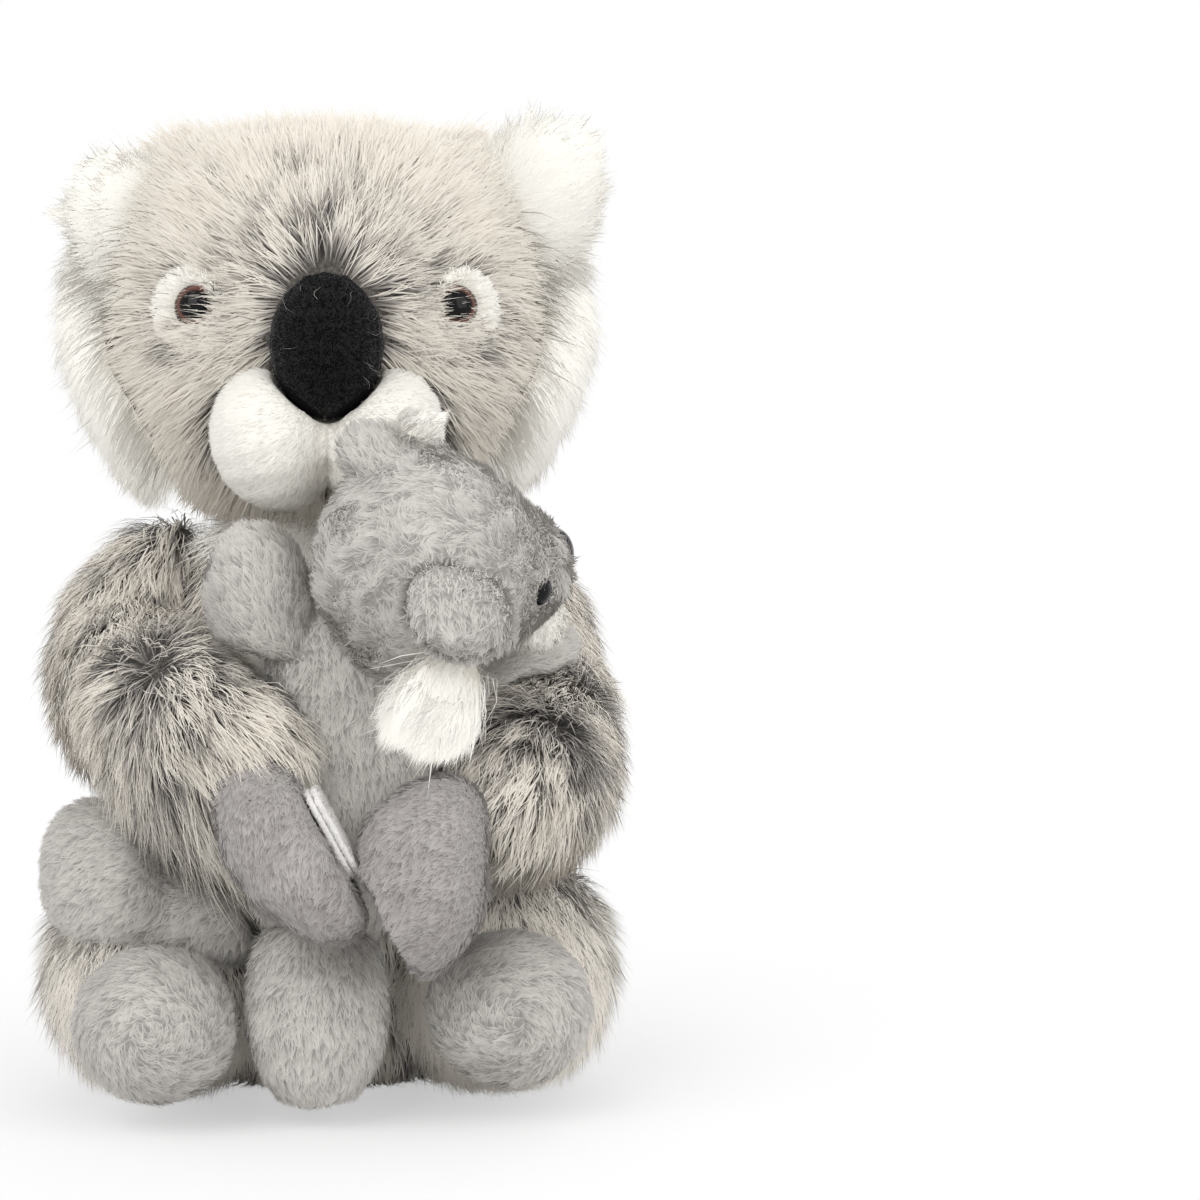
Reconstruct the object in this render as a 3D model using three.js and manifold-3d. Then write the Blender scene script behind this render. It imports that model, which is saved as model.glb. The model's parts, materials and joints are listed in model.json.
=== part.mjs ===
// A plush mother koala that hugs a removable plush baby, sitting on its seat.
// Millimetres, +Z up, the mother faces -Y and her left side is +X.
// The origin is the middle of the flat seat, on the surface that the toy sits on.

import * as THREE from 'three';
import { mergeVertices } from 'three/addons/utils/BufferGeometryUtils.js';
import Module from 'manifold-3d';

const wasm = await Module();
wasm.setup();

// Sizes shared by the whole toy
const clearance = 0.3;
const overrun = 4;
const formSides = 16;
const formRings = 10;
const smallSides = 12;
const smallRings = 8;
const roundTurns = 16;
const domeSteps = 6;

// How blunt a stuffed form's tips are: 2 is a round tip, and more is squarer
const roundTip = 2.2;
const fullTip = 2.6;
const seatTip = 6;

// Mother, torso: a sewn skin, its filling, a pellet pouch and the panel that closes the seat
const torsoHeight = 171;
const torsoHalfWidth = 60;
const torsoHalfDepth = 54;
const torsoSetBack = 3;
const torsoSeatCut = 5;
const skinThickness = 2.2;
const seatOpeningHalfWidth = 34;
const seatOpeningHalfDepth = 30;
const pouchHalfWidth = 32;
const pouchHalfDepth = 27;
const pouchHeight = 34;
const pouchHalfHeight = 19;
const torsoWideShares = [0.9, 1, 1, 0.96, 0.84, 0.66];
const torsoDeepShares = [0.88, 1, 0.99, 0.93, 0.8, 0.62];
const torsoLeanShares = [0.02, 0, 0, -0.02, -0.06, -0.1];

// Mother, pale panel sewn down the chest and belly
const panelThickness = 2;
const panelHalfWidth = 30;
const panelHalfHeight = 52;
const panelRiseShare = 0.62;

// Mother, head
const headHeight = 108;
const headHalfWidth = 57;
const headHalfDepth = 51;
const headForward = 10;
const neckOverlap = 14;
const headWideShares = [0.9, 1, 1.02, 1, 0.96, 0.88];
const headDeepShares = [0.78, 0.9, 1, 1, 0.95, 0.86];
const browHalfWidth = 27;
const browHalfDepth = 25;
const browHalfHeight = 30;
const browForward = 35;
const browRise = 7;

// Mother, two-lobed muzzle and felt nose
const lobeHalfWidth = 17.5;
const lobeHalfDepth = 23;
const lobeHalfHeight = 20.5;
const lobeSpread = 14;
const lobeDrop = 30;
const lobeSeatShare = 0.86;
const lobeTilt = THREE.MathUtils.degToRad(14);
const noseHalfWidth = 15.4;
const noseHalfDepth = 15;
const noseHalfHeight = 20;
const noseForward = 55;
const noseDrop = 5;
const noseTilt = THREE.MathUtils.degToRad(9);

// Safety eyes of mother and baby: a dome on a shank, held inside by a washer
const eyeRadius = 6;
const eyeDome = 4.6;
const eyeSpacing = 34.8;
const eyeRise = 5;
const shankRadius = 2;
const shankLength = 12;
const washerRadius = 6.5;
const washerThickness = 1.8;
const washerSink = 2.4;
const eyePatchRadius = 10;
const eyePatchThickness = 1.4;
const eyePatchShift = 3.5;

// Mother, ears and the long pale ruff below each ear
const earHalfWidth = 19.5;
const earHalfHeight = 25.5;
const earHalfDepth = 17;
const earTilt = THREE.MathUtils.degToRad(20);
const earTurn = THREE.MathUtils.degToRad(22);
const earOutShare = 1.06;
const earRise = 34;
const earSetBack = 5;
const ruffThickness = 12;
const ruffHalfDepth = 24;
const ruffWideShares = [0.75, 1, 1, 0.95, 0.8];
const ruffDeepShares = [0.65, 0.8, 0.95, 1, 0.85];
const ruffLineShares = [
  [1.11, 0.25, 0.45],
  [1.13, 0.16, 0.02],
  [1.05, 0.02, -0.35],
  [0.89, -0.16, -0.67],
  [0.68, -0.37, -0.86],
];

// Mother, arms that close round the baby, with short-pile hands
const armReach = 108;
const armRadius = 22.5;
const armGirthShares = [0.85, 0.98, 1.04, 1.06, 1.02, 0.92];
const armRightLineShares = [
  [0.77, 0.074, 0.89],
  [0.9, 0.03, 0.785],
  [0.91, -0.148, 0.672],
  [0.76, -0.444, 0.635],
  [0.467, -0.685, 0.6],
  [0.133, -0.833, 0.55],
];
const armLeftLineShares = [
  [0.77, 0.074, 0.89],
  [0.88, 0.03, 0.775],
  [0.91, -0.13, 0.635],
  [0.93, -0.417, 0.552],
  [0.85, -0.685, 0.505],
  [0.667, -0.875, 0.462],
];
const handRadius = 18.5;
const handRightWideShares = [0.8, 0.95, 0.95, 0.8];
const handRightLineShares = [
  [0.42, -0.8, 0.56],
  [0.2, -0.972, 0.472],
  [0.02, -1, 0.398],
  [-0.05, -1.009, 0.31],
];
const handLeftWideShares = [0.85, 1, 1, 0.78];
const handLeftLineShares = [
  [0.62, -0.86, 0.53],
  [0.4, -0.981, 0.445],
  [0.36, -1, 0.35],
  [0.37, -1, 0.252],
];

// Fastener patches on the palms, mated where the hands meet
const palmGapOut = 0.8;
const palmGapRise = 81.6;
const palmSlope = THREE.MathUtils.degToRad(28);
const patchWidth = 17;
const patchHeight = 25;
const patchCorner = 6;
const patchThickness = 1.5;
const patchCornerSteps = 4;

// Mother, legs and short-pile feet
const thighRadius = 33;
const thighReach = 66;
const thighDeepShare = 1.06;
const thighWideShares = [0.86, 1, 1.02, 0.95, 0.8];
const thighLineShares = [
  [0.68, 0.3, 1],
  [0.72, 0.02, 1.03],
  [0.75, -0.36, 1.03],
  [0.76, -0.72, 0.98],
  [0.79, -1.06, 0.9],
];
const footHalfWidth = 22;
const footHalfHeight = 20.5;
const footLength = 50;
const footTuckShare = 0.34;
const footOut = 46;
const footRise = 28;
const footWideShares = [0.7, 0.92, 1, 1, 0.95];
const footShifts = { left: [1.5, 0, 2], right: [0.5, -4, 0] };

// Baby, head: it looks to the mother's left, with its crown turned to the front
const babyHeadRadius = 33.5;
const babyHeadLength = 72;
const babyHeadOut = 28.6;
const babyHeadRise = 147.4;
const babySqueeze = 6;
const babyHeadWideShares = [0.82, 0.98, 1, 0.86, 0.62, 0.52];
const babyHeadDeepShares = [0.8, 0.96, 0.98, 0.84, 0.6, 0.5];
const babyFace = new THREE.Vector3(0.893, 0.45, -0.02).normalize();
const babyUpward = new THREE.Vector3(0.269, -0.703, 0.658);
const babyMuzzleHalfWidth = 12;
const babyMuzzleHalfHeight = 8;
const babyMuzzleHalfDepth = 10;
const babyMuzzlePlace = [-8, -9, 29];
const babyNoseHalfWidth = 6.5;
const babyNoseHalfHeight = 9.3;
const babyNoseDepth = 6;
const babyNoseOut = 3;
const babyNoseRise = 1;
const babyNoseSink = 3;
const babyNoseLean = THREE.MathUtils.degToRad(18);
const babyEyeRadius = 4;
const babyEyeDome = 3.2;
const babyEyeAlongShare = 0.78;
const babyEyeTurn = THREE.MathUtils.degToRad(32);
const babyShankRadius = 1.4;
const babyShankLength = 7;
const babyEarHalves = [14, 15, 7];
const babyEarLean = THREE.MathUtils.degToRad(14);
const babyEarShares = { left: [0.95, 0.6, -0.16], right: [0.82, 0.56, -0.34] };
const babyFluffHalves = { left: [8, 8, 7], right: [15, 17, 8.5] };
const babyFluffLean = THREE.MathUtils.degToRad(42);
const babyFluffShares = { left: [0.96, 0.91, -0.05], right: [1.26, -0.06, -0.41] };

// Baby, body and limbs
const babyBodyLength = 78;
const babyBodyHalfWidth = 25;
const babyBodyHalfDepth = 20;
const babyBodyOut = -5;
const babyBodyReach = 38;
const babyBodyRise = 42;
const babyBodyWideShares = [0.9, 1, 1, 0.92, 0.8];
const babyBodyLineShares = [
  [0.0, 0, 0],
  [0.08, 0, 0.25],
  [0.2, 0, 0.5],
  [0.36, 0, 0.75],
  [0.56, 0, 1],
];
const babyArmRadius = 16;
const babyArmLength = 44;
const babyArmWideShares = [0.75, 0.85, 1, 0.95];
const babyArmLeftShares = [
  [0.05, -0.05, -0.3],
  [-0.2, -0.02, 0.1],
  [-0.3, 0.05, 0.45],
  [-0.32, 0.14, 0.9],
];
const babyArmRightShares = [
  [0.3, 0.1, -0.45],
  [0.75, 0.3, -0.4],
  [1.2, 0.5, -0.18],
  [1.62, 0.68, 0.2],
];
const liftAway = new THREE.Vector3(0, -0.97, 0.25).normalize();
const liftSteps = [3, 7];
const babyLegRadius = 19;
const babyLegLength = 60;
const babyLegDeepShare = 0.9;
const babyLegRightWideShares = [0.8, 0.95, 1.04, 1];
const babyLegRightShares = [
  [0.02, 0.05, 0.14],
  [0.02, -0.15, -0.12],
  [0.02, -0.27, -0.4],
  [0.03, -0.32, -0.76],
];
const babyLegLeftWideShares = [0.7, 0.74, 0.84, 0.96, 0.98];
const babyLegLeftShares = [
  [-0.12, 0.02, 0.04],
  [-0.46, 0.07, 0.03],
  [-0.76, 0.2, 0.06],
  [-0.96, 0.35, 0.12],
  [-1.14, 0.55, 0.2],
];

// Colours and finishes
const plushGrey = { color: 0xa39a8d, roughness: 1 };
const plushWhite = { color: 0xf1ede4, roughness: 1 };
const velvetGrey = { color: 0xb4b1b1, roughness: 0.95 };
const velvetMauve = { color: 0xa29da2, roughness: 0.95 };
const blackFelt = { color: 0x17171a, roughness: 1 };
const blackPlastic = { color: 0x08080a, roughness: 0.15 };
const eyePlastic = { color: 0x2b1710, roughness: 0.12 };
const washerPlastic = { color: 0xe6e6e2, roughness: 0.45 };
const fastenerWhite = { color: 0xf3f3f5, roughness: 0.9 };
const fillingWhite = { color: 0xf7f7f4, roughness: 1 };
const pouchCloth = { color: 0xcfc8bb, roughness: 0.9 };

const koala = new THREE.Group();
const mergeStep = 1e-4;
const seatStep = 1e-3;

// Turns a closed geometry into a solid that can be joined and cut
function toSolid(geometry) {
  const bare = geometry.clone();
  bare.deleteAttribute('normal');
  bare.deleteAttribute('uv');
  const merged = mergeVertices(bare, mergeStep);
  const vertProperties = Float32Array.from(merged.attributes.position.array);
  const triVerts = Uint32Array.from(merged.index.array);
  return new wasm.Manifold(new wasm.Mesh({ numProp: 3, vertProperties, triVerts }));
}

// Turns a solid back into a geometry
function toGeometry(solid) {
  const mesh = solid.getMesh();
  const geometry = new THREE.BufferGeometry();
  geometry.setAttribute('position', new THREE.BufferAttribute(mesh.vertProperties, mesh.numProp));
  geometry.setIndex(new THREE.BufferAttribute(mesh.triVerts, 1));
  geometry.computeVertexNormals();
  return geometry;
}

// Adds a solid to the koala as a named piece
function addPiece(name, solid, { color, roughness, metalness = 0 }) {
  const material = new THREE.MeshStandardMaterial({ color, roughness, metalness });
  const mesh = new THREE.Mesh(toGeometry(solid), material);
  mesh.name = name;
  koala.add(mesh);
}

// Cuts a piece by the grown forms of its larger neighbours
function cutBy(solid, forms) {
  return forms.reduce((left, form) => left.subtract(form(clearance)), solid);
}

// Scales rows of shares by the three sizes that they follow, and moves them to a start point
function placeLine(shares, sizes, start = [0, 0, 0]) {
  return shares.map((row) => row.map((share, i) => start[i] + share * sizes[i]));
}

// Mirrors a line to the mother's right side
function mirrored(line) {
  return line.map(([x, y, z]) => [-x, y, z]);
}

// A smooth value between the equally spaced entries of a table
function tableValue(table, at) {
  const curve = new THREE.SplineCurve(table.map((value, i) => new THREE.Vector2(i, value)));
  return curve.getPoint(at).y;
}

// A stuffed form: elliptical rings along a smooth centre line, drawn in to a round end at each
// tip. It returns a function that makes the solid, grown on all sides by the given amount.
function stuffedForm({ line, wide, deep, across, start = roundTip, end = roundTip, small = false }) {
  const sides = small ? smallSides : formSides;
  const rings = small ? smallRings : formRings;
  const curve = new THREE.CatmullRomCurve3(line.map((point) => new THREE.Vector3(...point)));

  // How far a ring is drawn in: 1 along the middle, falling to 0 at each tip
  function drawnIn(at) {
    const offset = 2 * at - 1;
    const power = offset < 0 ? start : end;
    return Math.pow(Math.max(0, 1 - Math.pow(Math.abs(offset), power)), 1 / power);
  }

  // A point of the surface: at runs along the form and angle runs round it
  function surface(at, angle, grow = 0) {
    const tangent = curve.getTangent(at);
    const side = across.clone().addScaledVector(tangent, -across.dot(tangent)).normalize();
    const depth = new THREE.Vector3().crossVectors(tangent, side);
    return curve
      .getPoint(at)
      .addScaledVector(tangent, grow * (2 * at - 1))
      .addScaledVector(side, (tableValue(wide, at) * drawnIn(at) + grow) * Math.cos(angle))
      .addScaledVector(depth, (tableValue(deep, at) * drawnIn(at) + grow) * Math.sin(angle));
  }

  function grownBy(grow) {
    const points = [curve.getPoint(0).addScaledVector(curve.getTangent(0), -grow)];
    for (let ring = 1; ring < rings; ring += 1) {
      const at = (1 - Math.cos((Math.PI * ring) / rings)) / 2;
      for (let step = 0; step < sides; step += 1) {
        points.push(surface(at, (2 * Math.PI * step) / sides, grow));
      }
    }
    points.push(curve.getPoint(1).addScaledVector(curve.getTangent(1), grow));
    return toSolid(ringedGeometry(points, sides, rings));
  }

  // A seat on the surface: its point and the direction that faces away from the form there
  grownBy.seat = function seat(at, angle) {
    const point = surface(at, angle);
    const along = surface(at + seatStep, angle).sub(point);
    const round = surface(at, angle + seatStep).sub(point);
    return { point, away: new THREE.Vector3().crossVectors(round, along).normalize() };
  };

  // The half-width of the form at a place along it
  grownBy.halfWidth = (at) => tableValue(wide, at) * drawnIn(at);
  return grownBy;
}

// Joins a start tip, rings of points and an end tip into a closed surface
function ringedGeometry(points, sides, rings) {
  const faces = [];
  const ringStart = (ring) => 1 + (ring - 1) * sides;
  const lastPoint = points.length - 1;
  for (let step = 0; step < sides; step += 1) {
    const next = (step + 1) % sides;
    faces.push(0, ringStart(1) + next, ringStart(1) + step);
    for (let ring = 1; ring < rings - 1; ring += 1) {
      const near = ringStart(ring);
      const far = ringStart(ring + 1);
      faces.push(near + step, near + next, far + next);
      faces.push(near + step, far + next, far + step);
    }
    faces.push(ringStart(rings - 1) + step, ringStart(rings - 1) + next, lastPoint);
  }
  const geometry = new THREE.BufferGeometry().setFromPoints(points);
  geometry.setIndex(faces);
  return geometry;
}

// An ellipsoid, turned and placed, as a function of how far it is grown
function ellipsoid([halfX, halfY, halfZ], matrix) {
  return function grownBy(grow) {
    const ball = new THREE.SphereGeometry(1, formSides, smallRings);
    ball.rotateX(Math.PI / 2);
    ball.scale(halfX + grow, halfY + grow, halfZ + grow);
    ball.applyMatrix4(matrix);
    return toSolid(ball);
  };
}

// A matrix that turns by three angles in turn and then moves to a point
function placed(point, turnX = 0, turnY = 0, turnZ = 0) {
  const matrix = new THREE.Matrix4().makeRotationFromEuler(new THREE.Euler(turnX, turnY, turnZ));
  return matrix.setPosition(...point);
}

// A matrix whose z axis points along a direction
function facing(point, direction, upward) {
  const away = direction.clone().normalize();
  const right = new THREE.Vector3().crossVectors(upward, away).normalize();
  const up = new THREE.Vector3().crossVectors(away, right);
  return new THREE.Matrix4().makeBasis(right, up, away).setPosition(point);
}

// An elliptical column between two heights
function column(halfWidth, halfDepth, bottom, top) {
  const post = new THREE.CylinderGeometry(1, 1, top - bottom, roundTurns);
  post.rotateX(Math.PI / 2);
  post.scale(halfWidth, halfDepth, 1);
  post.translate(0, torsoSetBack, (top + bottom) / 2);
  return toSolid(post);
}

// A block that reaches well past the toy, from a height down
const blockSize = 4 * torsoHeight;
function blockBelow(top) {
  const block = new THREE.BoxGeometry(blockSize, blockSize, blockSize);
  block.translate(0, 0, top - blockSize / 2);
  return toSolid(block);
}

const sideways = new THREE.Vector3(1, 0, 0);
const upright = new THREE.Vector3(0, 0, 1);
const floor = blockBelow(0);

// Torso
const torsoRun = torsoHeight + torsoSeatCut;
const torsoLine = torsoLeanShares.map((lean, i) => {
  const rise = i / (torsoLeanShares.length - 1);
  return [0, torsoSetBack + lean * torsoHalfDepth, rise * torsoRun - torsoSeatCut];
});
const torsoForm = stuffedForm({
  line: torsoLine,
  wide: torsoWideShares.map((share) => share * torsoHalfWidth),
  deep: torsoDeepShares.map((share) => share * torsoHalfDepth),
  across: sideways,
  start: seatTip,
  end: fullTip,
});

// Head: its middle stands above the top of the torso, less the overlap at the neck
const headMiddle = [0, -headForward, torsoHeight - neckOverlap + headHeight / 2];
const headLine = headWideShares.map((share, i) => {
  const rise = i / (headWideShares.length - 1) - 0.5;
  return [headMiddle[0], headMiddle[1], headMiddle[2] + rise * headHeight];
});
const headForm = stuffedForm({
  line: headLine,
  wide: headWideShares.map((share) => share * headHalfWidth),
  deep: headDeepShares.map((share) => share * headHalfDepth),
  across: sideways,
  start: fullTip,
  end: fullTip,
});

// The brow and bridge that swell forward between the eyes, joined to the head
const browMiddle = [0, headMiddle[1] - browForward, headMiddle[2] + browRise];
const browForm = ellipsoid([browHalfWidth, browHalfDepth, browHalfHeight], placed(browMiddle));
const faceForm = (grow) => headForm(grow).add(browForm(grow));

// A place on the front of the head, and the direction that faces away from the head there
function frontOfHead(out, rise) {
  const at = (rise - headMiddle[2]) / headHeight + 0.5;
  return headForm.seat(at, -Math.acos(out / headForm.halfWidth(at)));
}

// Limbs of the mother
const armSizes = [torsoHalfWidth, armReach, torsoHeight];
function armForm(line) {
  return stuffedForm({
    line,
    wide: armGirthShares.map((share) => share * armRadius),
    deep: armGirthShares.map((share) => share * armRadius),
    across: sideways,
    end: fullTip,
  });
}
const armForms = {
  left: armForm(placeLine(armLeftLineShares, armSizes)),
  right: armForm(mirrored(placeLine(armRightLineShares, armSizes))),
};

function handForm(line, shares) {
  return stuffedForm({
    line,
    wide: shares.map((share) => share * handRadius),
    deep: shares.map((share) => share * handRadius),
    across: sideways,
    small: true,
  });
}
const handForms = {
  left: handForm(placeLine(handLeftLineShares, armSizes), handLeftWideShares),
  right: handForm(mirrored(placeLine(handRightLineShares, armSizes)), handRightWideShares),
};

const thighSizes = [torsoHalfWidth, thighReach, thighRadius];
function thighForm(line) {
  return stuffedForm({
    line,
    wide: thighWideShares.map((share) => share * thighRadius),
    deep: thighWideShares.map((share) => share * thighRadius * thighDeepShare),
    across: sideways,
    end: fullTip,
  });
}
const thighLine = placeLine(thighLineShares, thighSizes);
const thighForms = { left: thighForm(thighLine), right: thighForm(mirrored(thighLine)) };

function footForm(sign, [shiftOut, shiftForward, shiftUp]) {
  const back = thighLine[thighLine.length - 1][1] + footLength * footTuckShare + shiftForward;
  const steps = footWideShares.length - 1;
  return stuffedForm({
    line: footWideShares.map((share, i) => {
      return [sign * footOut + shiftOut, back - (i / steps) * footLength, footRise + shiftUp];
    }),
    wide: footWideShares.map((share) => share * footHalfWidth),
    deep: footWideShares.map((share) => share * footHalfHeight),
    across: sideways,
    small: true,
  });
}
const footForms = {
  left: footForm(1, footShifts.left),
  right: footForm(-1, footShifts.right),
};

// Torso pieces: skin with a hollow open at the seat, its panel, the pouch and the filling
const torsoHollow = torsoForm(-skinThickness);
const seatOpening = column(seatOpeningHalfWidth, seatOpeningHalfDepth, -overrun, skinThickness + overrun);
const seatPanel = column(
  seatOpeningHalfWidth - clearance,
  seatOpeningHalfDepth - clearance,
  0,
  skinThickness,
);
const hollowFloor = blockBelow(skinThickness);
const torsoSkin = torsoForm(0).subtract(torsoHollow.subtract(hollowFloor));
addPiece('body_skin', torsoSkin.subtract(floor).subtract(seatOpening), plushGrey);
addPiece('seat_panel', seatPanel, plushGrey);

const pouchBottom = skinThickness + clearance;
const pouchMiddle = [0, torsoSetBack, pouchBottom + pouchHeight / 2];
const pouchForm = ellipsoid([pouchHalfWidth, pouchHalfDepth, pouchHalfHeight], placed(pouchMiddle));
addPiece('pellet_pouch', pouchForm(0).subtract(blockBelow(pouchBottom)), pouchCloth);

const pouchRoom = column(pouchHalfWidth, pouchHalfDepth, 0, pouchMiddle[2]);
const bodyFilling = torsoForm(-skinThickness - clearance)
  .subtract(blockBelow(pouchBottom))
  .subtract(pouchForm(clearance))
  .subtract(pouchRoom);
addPiece('body_stuffing', bodyFilling, fillingWhite);

// Head pieces: skin with a hollow open at the neck, and the filling
const washerDepth = skinThickness + washerSink;
function eyeFrame(sign) {
  const seat = frontOfHead(sign * eyeSpacing, headMiddle[2] + eyeRise);
  return facing(seat.point, seat.away, upright);
}

// A turned piece about the z axis, from its outline
function turned(outline, matrix, turns = roundTurns) {
  const geometry = new THREE.LatheGeometry(outline.map(([r, z]) => new THREE.Vector2(r, z)), turns);
  geometry.rotateX(Math.PI / 2);
  geometry.applyMatrix4(matrix);
  return toSolid(geometry);
}

// A shank from a depth below the seat up to a height above it
function shank(radius, depth, height, matrix) {
  return turned([[0, -depth], [radius, -depth], [radius, height], [0, height]], matrix);
}

// A dome with an elliptical section, with a straight rim below its seat
function dome(radius, height, rim, matrix) {
  const outline = [[0, -rim], [radius, -rim]];
  for (let step = 0; step <= domeSteps; step += 1) {
    const angle = (Math.PI / 2) * (step / domeSteps);
    outline.push([step === domeSteps ? 0 : radius * Math.cos(angle), height * Math.sin(angle)]);
  }
  return turned(outline, matrix);
}

const sidesOfKoala = [['left', 1], ['right', -1]];
let headSkin = faceForm(0).subtract(faceForm(-skinThickness));
let headFilling = faceForm(-skinThickness - clearance);
for (const [, sign] of sidesOfKoala) {
  const frame = eyeFrame(sign);
  const shankRoom = shank(shankRadius + clearance, shankLength + clearance, overrun, frame);
  const washerRoom = turned(
    [
      [0, -washerDepth - washerThickness - clearance],
      [washerRadius + clearance, -washerDepth - washerThickness - clearance],
      [washerRadius + clearance, -skinThickness],
      [0, -skinThickness],
    ],
    frame,
  );
  headSkin = headSkin.subtract(shankRoom);
  headFilling = headFilling.subtract(shankRoom).subtract(washerRoom);
}
addPiece('head_skin', cutBy(headSkin, [torsoForm]), plushGrey);
addPiece('head_stuffing', cutBy(headFilling, [torsoForm]), fillingWhite);

// Muzzle: two lobes that meet in a seam below the nose
function lobe(sign) {
  const front = headMiddle[1] - headHalfDepth * lobeSeatShare;
  const middle = [sign * lobeSpread, front, headMiddle[2] - lobeDrop];
  return ellipsoid([lobeHalfWidth, lobeHalfDepth, lobeHalfHeight], placed(middle, 0, sign * lobeTilt));
}
const lobeForms = [lobe(1), lobe(-1)];
const muzzleForm = (grow) => lobeForms[0](grow).add(lobeForms[1](grow));


// Nose: an oval felt pad that bridges the face and the muzzle
const noseMiddle = [0, headMiddle[1] - noseForward, headMiddle[2] - noseDrop];
const noseForm = ellipsoid([noseHalfWidth, noseHalfDepth, noseHalfHeight], placed(noseMiddle, noseTilt));
addPiece('nose', cutBy(noseForm(0), [faceForm]), blackFelt);
addPiece('muzzle', cutBy(muzzleForm(0), [faceForm, noseForm, torsoForm]), plushWhite);

// Eyes, the white patches behind them and the washers inside
function eyeSolid(radius, height, base, stemRadius, stemLength, frame) {
  const outline = [[0, -stemLength], [stemRadius, -stemLength], [stemRadius, base]];
  for (let step = 0; step <= domeSteps; step += 1) {
    const angle = (Math.PI / 2) * (step / domeSteps);
    outline.push([step === domeSteps ? 0 : radius * Math.cos(angle), base + height * Math.sin(angle)]);
  }
  return turned(outline, frame);
}

for (const [side, sign] of sidesOfKoala) {
  const frame = eyeFrame(sign);
  const patchMove = new THREE.Matrix4().makeTranslation(sign * eyePatchShift, 0, 0);
  const patchFrame = frame.clone().multiply(patchMove);
  const eyeBase = eyePatchThickness / 2;
  const recess = shank(eyeRadius + clearance, clearance - eyeBase, overrun, frame);
  const stemRoom = shank(shankRadius + clearance, overrun * 2, overrun, frame);
  const patch = dome(eyePatchRadius, eyePatchThickness, overrun, patchFrame);
  addPiece(`eye_patch_${side}`, cutBy(patch, [faceForm]).subtract(recess).subtract(stemRoom), plushWhite);
  const eye = eyeSolid(eyeRadius, eyeDome, eyeBase, shankRadius, shankLength, frame);
  addPiece(`eye_${side}`, eye, eyePlastic);
  const washer = turned(
    [
      [shankRadius + clearance, -washerDepth - washerThickness],
      [washerRadius, -washerDepth - washerThickness],
      [washerRadius, -washerDepth],
      [shankRadius + clearance, -washerDepth],
      [shankRadius + clearance, -washerDepth - washerThickness],
    ],
    frame,
  );
  addPiece(`eye_washer_${side}`, washer, washerPlastic);
}

// Ears: a grey back and a pale lining, the two halves of one flattened form
const earHeight = 2 * earHalfHeight + overrun;
function earParts(sign) {
  const middle = [sign * earOutShare * headHalfWidth, headMiddle[1] + earSetBack, headMiddle[2] + earRise];
  const frame = placed(middle, 0, sign * earTilt, -sign * earTurn);
  const form = ellipsoid([earHalfWidth, earHalfDepth, earHalfHeight], frame);
  const half = (turn) => {
    const block = new THREE.BoxGeometry(earHeight, earHeight, earHeight);
    block.translate(0, turn * (earHeight / 2 + clearance / 2), 0);
    return form(0).intersect(toSolid(block.applyMatrix4(frame)));
  };
  return { form, back: half(1), lining: half(-1) };
}
const ears = { left: earParts(1), right: earParts(-1) };
for (const [side] of sidesOfKoala) {
  addPiece(`ear_back_${side}`, cutBy(ears[side].back, [faceForm]), plushGrey);
  addPiece(`ear_lining_${side}`, cutBy(ears[side].lining, [faceForm]), plushWhite);
}

// Ruff: the pale panel of long pile that hangs from each ear to the shoulder
const ruffSizes = [headHalfWidth, headHalfDepth, headHeight / 2];
const ruffLine = placeLine(ruffLineShares, ruffSizes, headMiddle);
function ruffForm(line) {
  return stuffedForm({
    line,
    wide: ruffWideShares.map((share) => share * ruffThickness),
    deep: ruffDeepShares.map((share) => share * ruffHalfDepth),
    across: sideways,
    small: true,
  });
}
const ruffForms = { left: ruffForm(ruffLine), right: ruffForm(mirrored(ruffLine)) };
for (const [side] of sidesOfKoala) {
  const ruff = cutBy(ruffForms[side](0), [faceForm, torsoForm, ears[side].form, armForms[side]]);
  addPiece(`ruff_${side}`, ruff, plushWhite);
}

// Arms and hands: the hands press together, flat, where the fastener patches mate
const palmMiddle = [palmGapOut, placeLine(handLeftLineShares, armSizes)[1][1], palmGapRise];
const palmFrame = placed(palmMiddle, 0, Math.PI / 2 - palmSlope, 0);
const patchRoom = patchThickness + clearance / 2;
function palmBlock(sign) {
  const block = new THREE.BoxGeometry(blockSize, blockSize, blockSize);
  block.translate(0, 0, sign * (blockSize / 2 - patchRoom - clearance));
  return toSolid(block.applyMatrix4(palmFrame));
}
function fastenerPatch(sign) {
  const outline = new THREE.Shape();
  const halfWidth = patchHeight / 2;
  const halfHeight = patchWidth / 2;
  outline.moveTo(-halfWidth + patchCorner, -halfHeight);
  outline.lineTo(halfWidth - patchCorner, -halfHeight);
  outline.absarc(halfWidth - patchCorner, -halfHeight + patchCorner, patchCorner, -Math.PI / 2, 0);
  outline.absarc(halfWidth - patchCorner, halfHeight - patchCorner, patchCorner, 0, Math.PI / 2);
  outline.absarc(-halfWidth + patchCorner, halfHeight - patchCorner, patchCorner, Math.PI / 2, Math.PI);
  outline.absarc(-halfWidth + patchCorner, -halfHeight + patchCorner, patchCorner, Math.PI, Math.PI * 1.5);
  const layer = { depth: patchThickness, bevelEnabled: false, curveSegments: patchCornerSteps };
  const slab = new THREE.ExtrudeGeometry(outline, layer);
  slab.translate(0, 0, sign > 0 ? clearance / 2 : -patchThickness - clearance / 2);
  return toSolid(slab.applyMatrix4(palmFrame));
}
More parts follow.
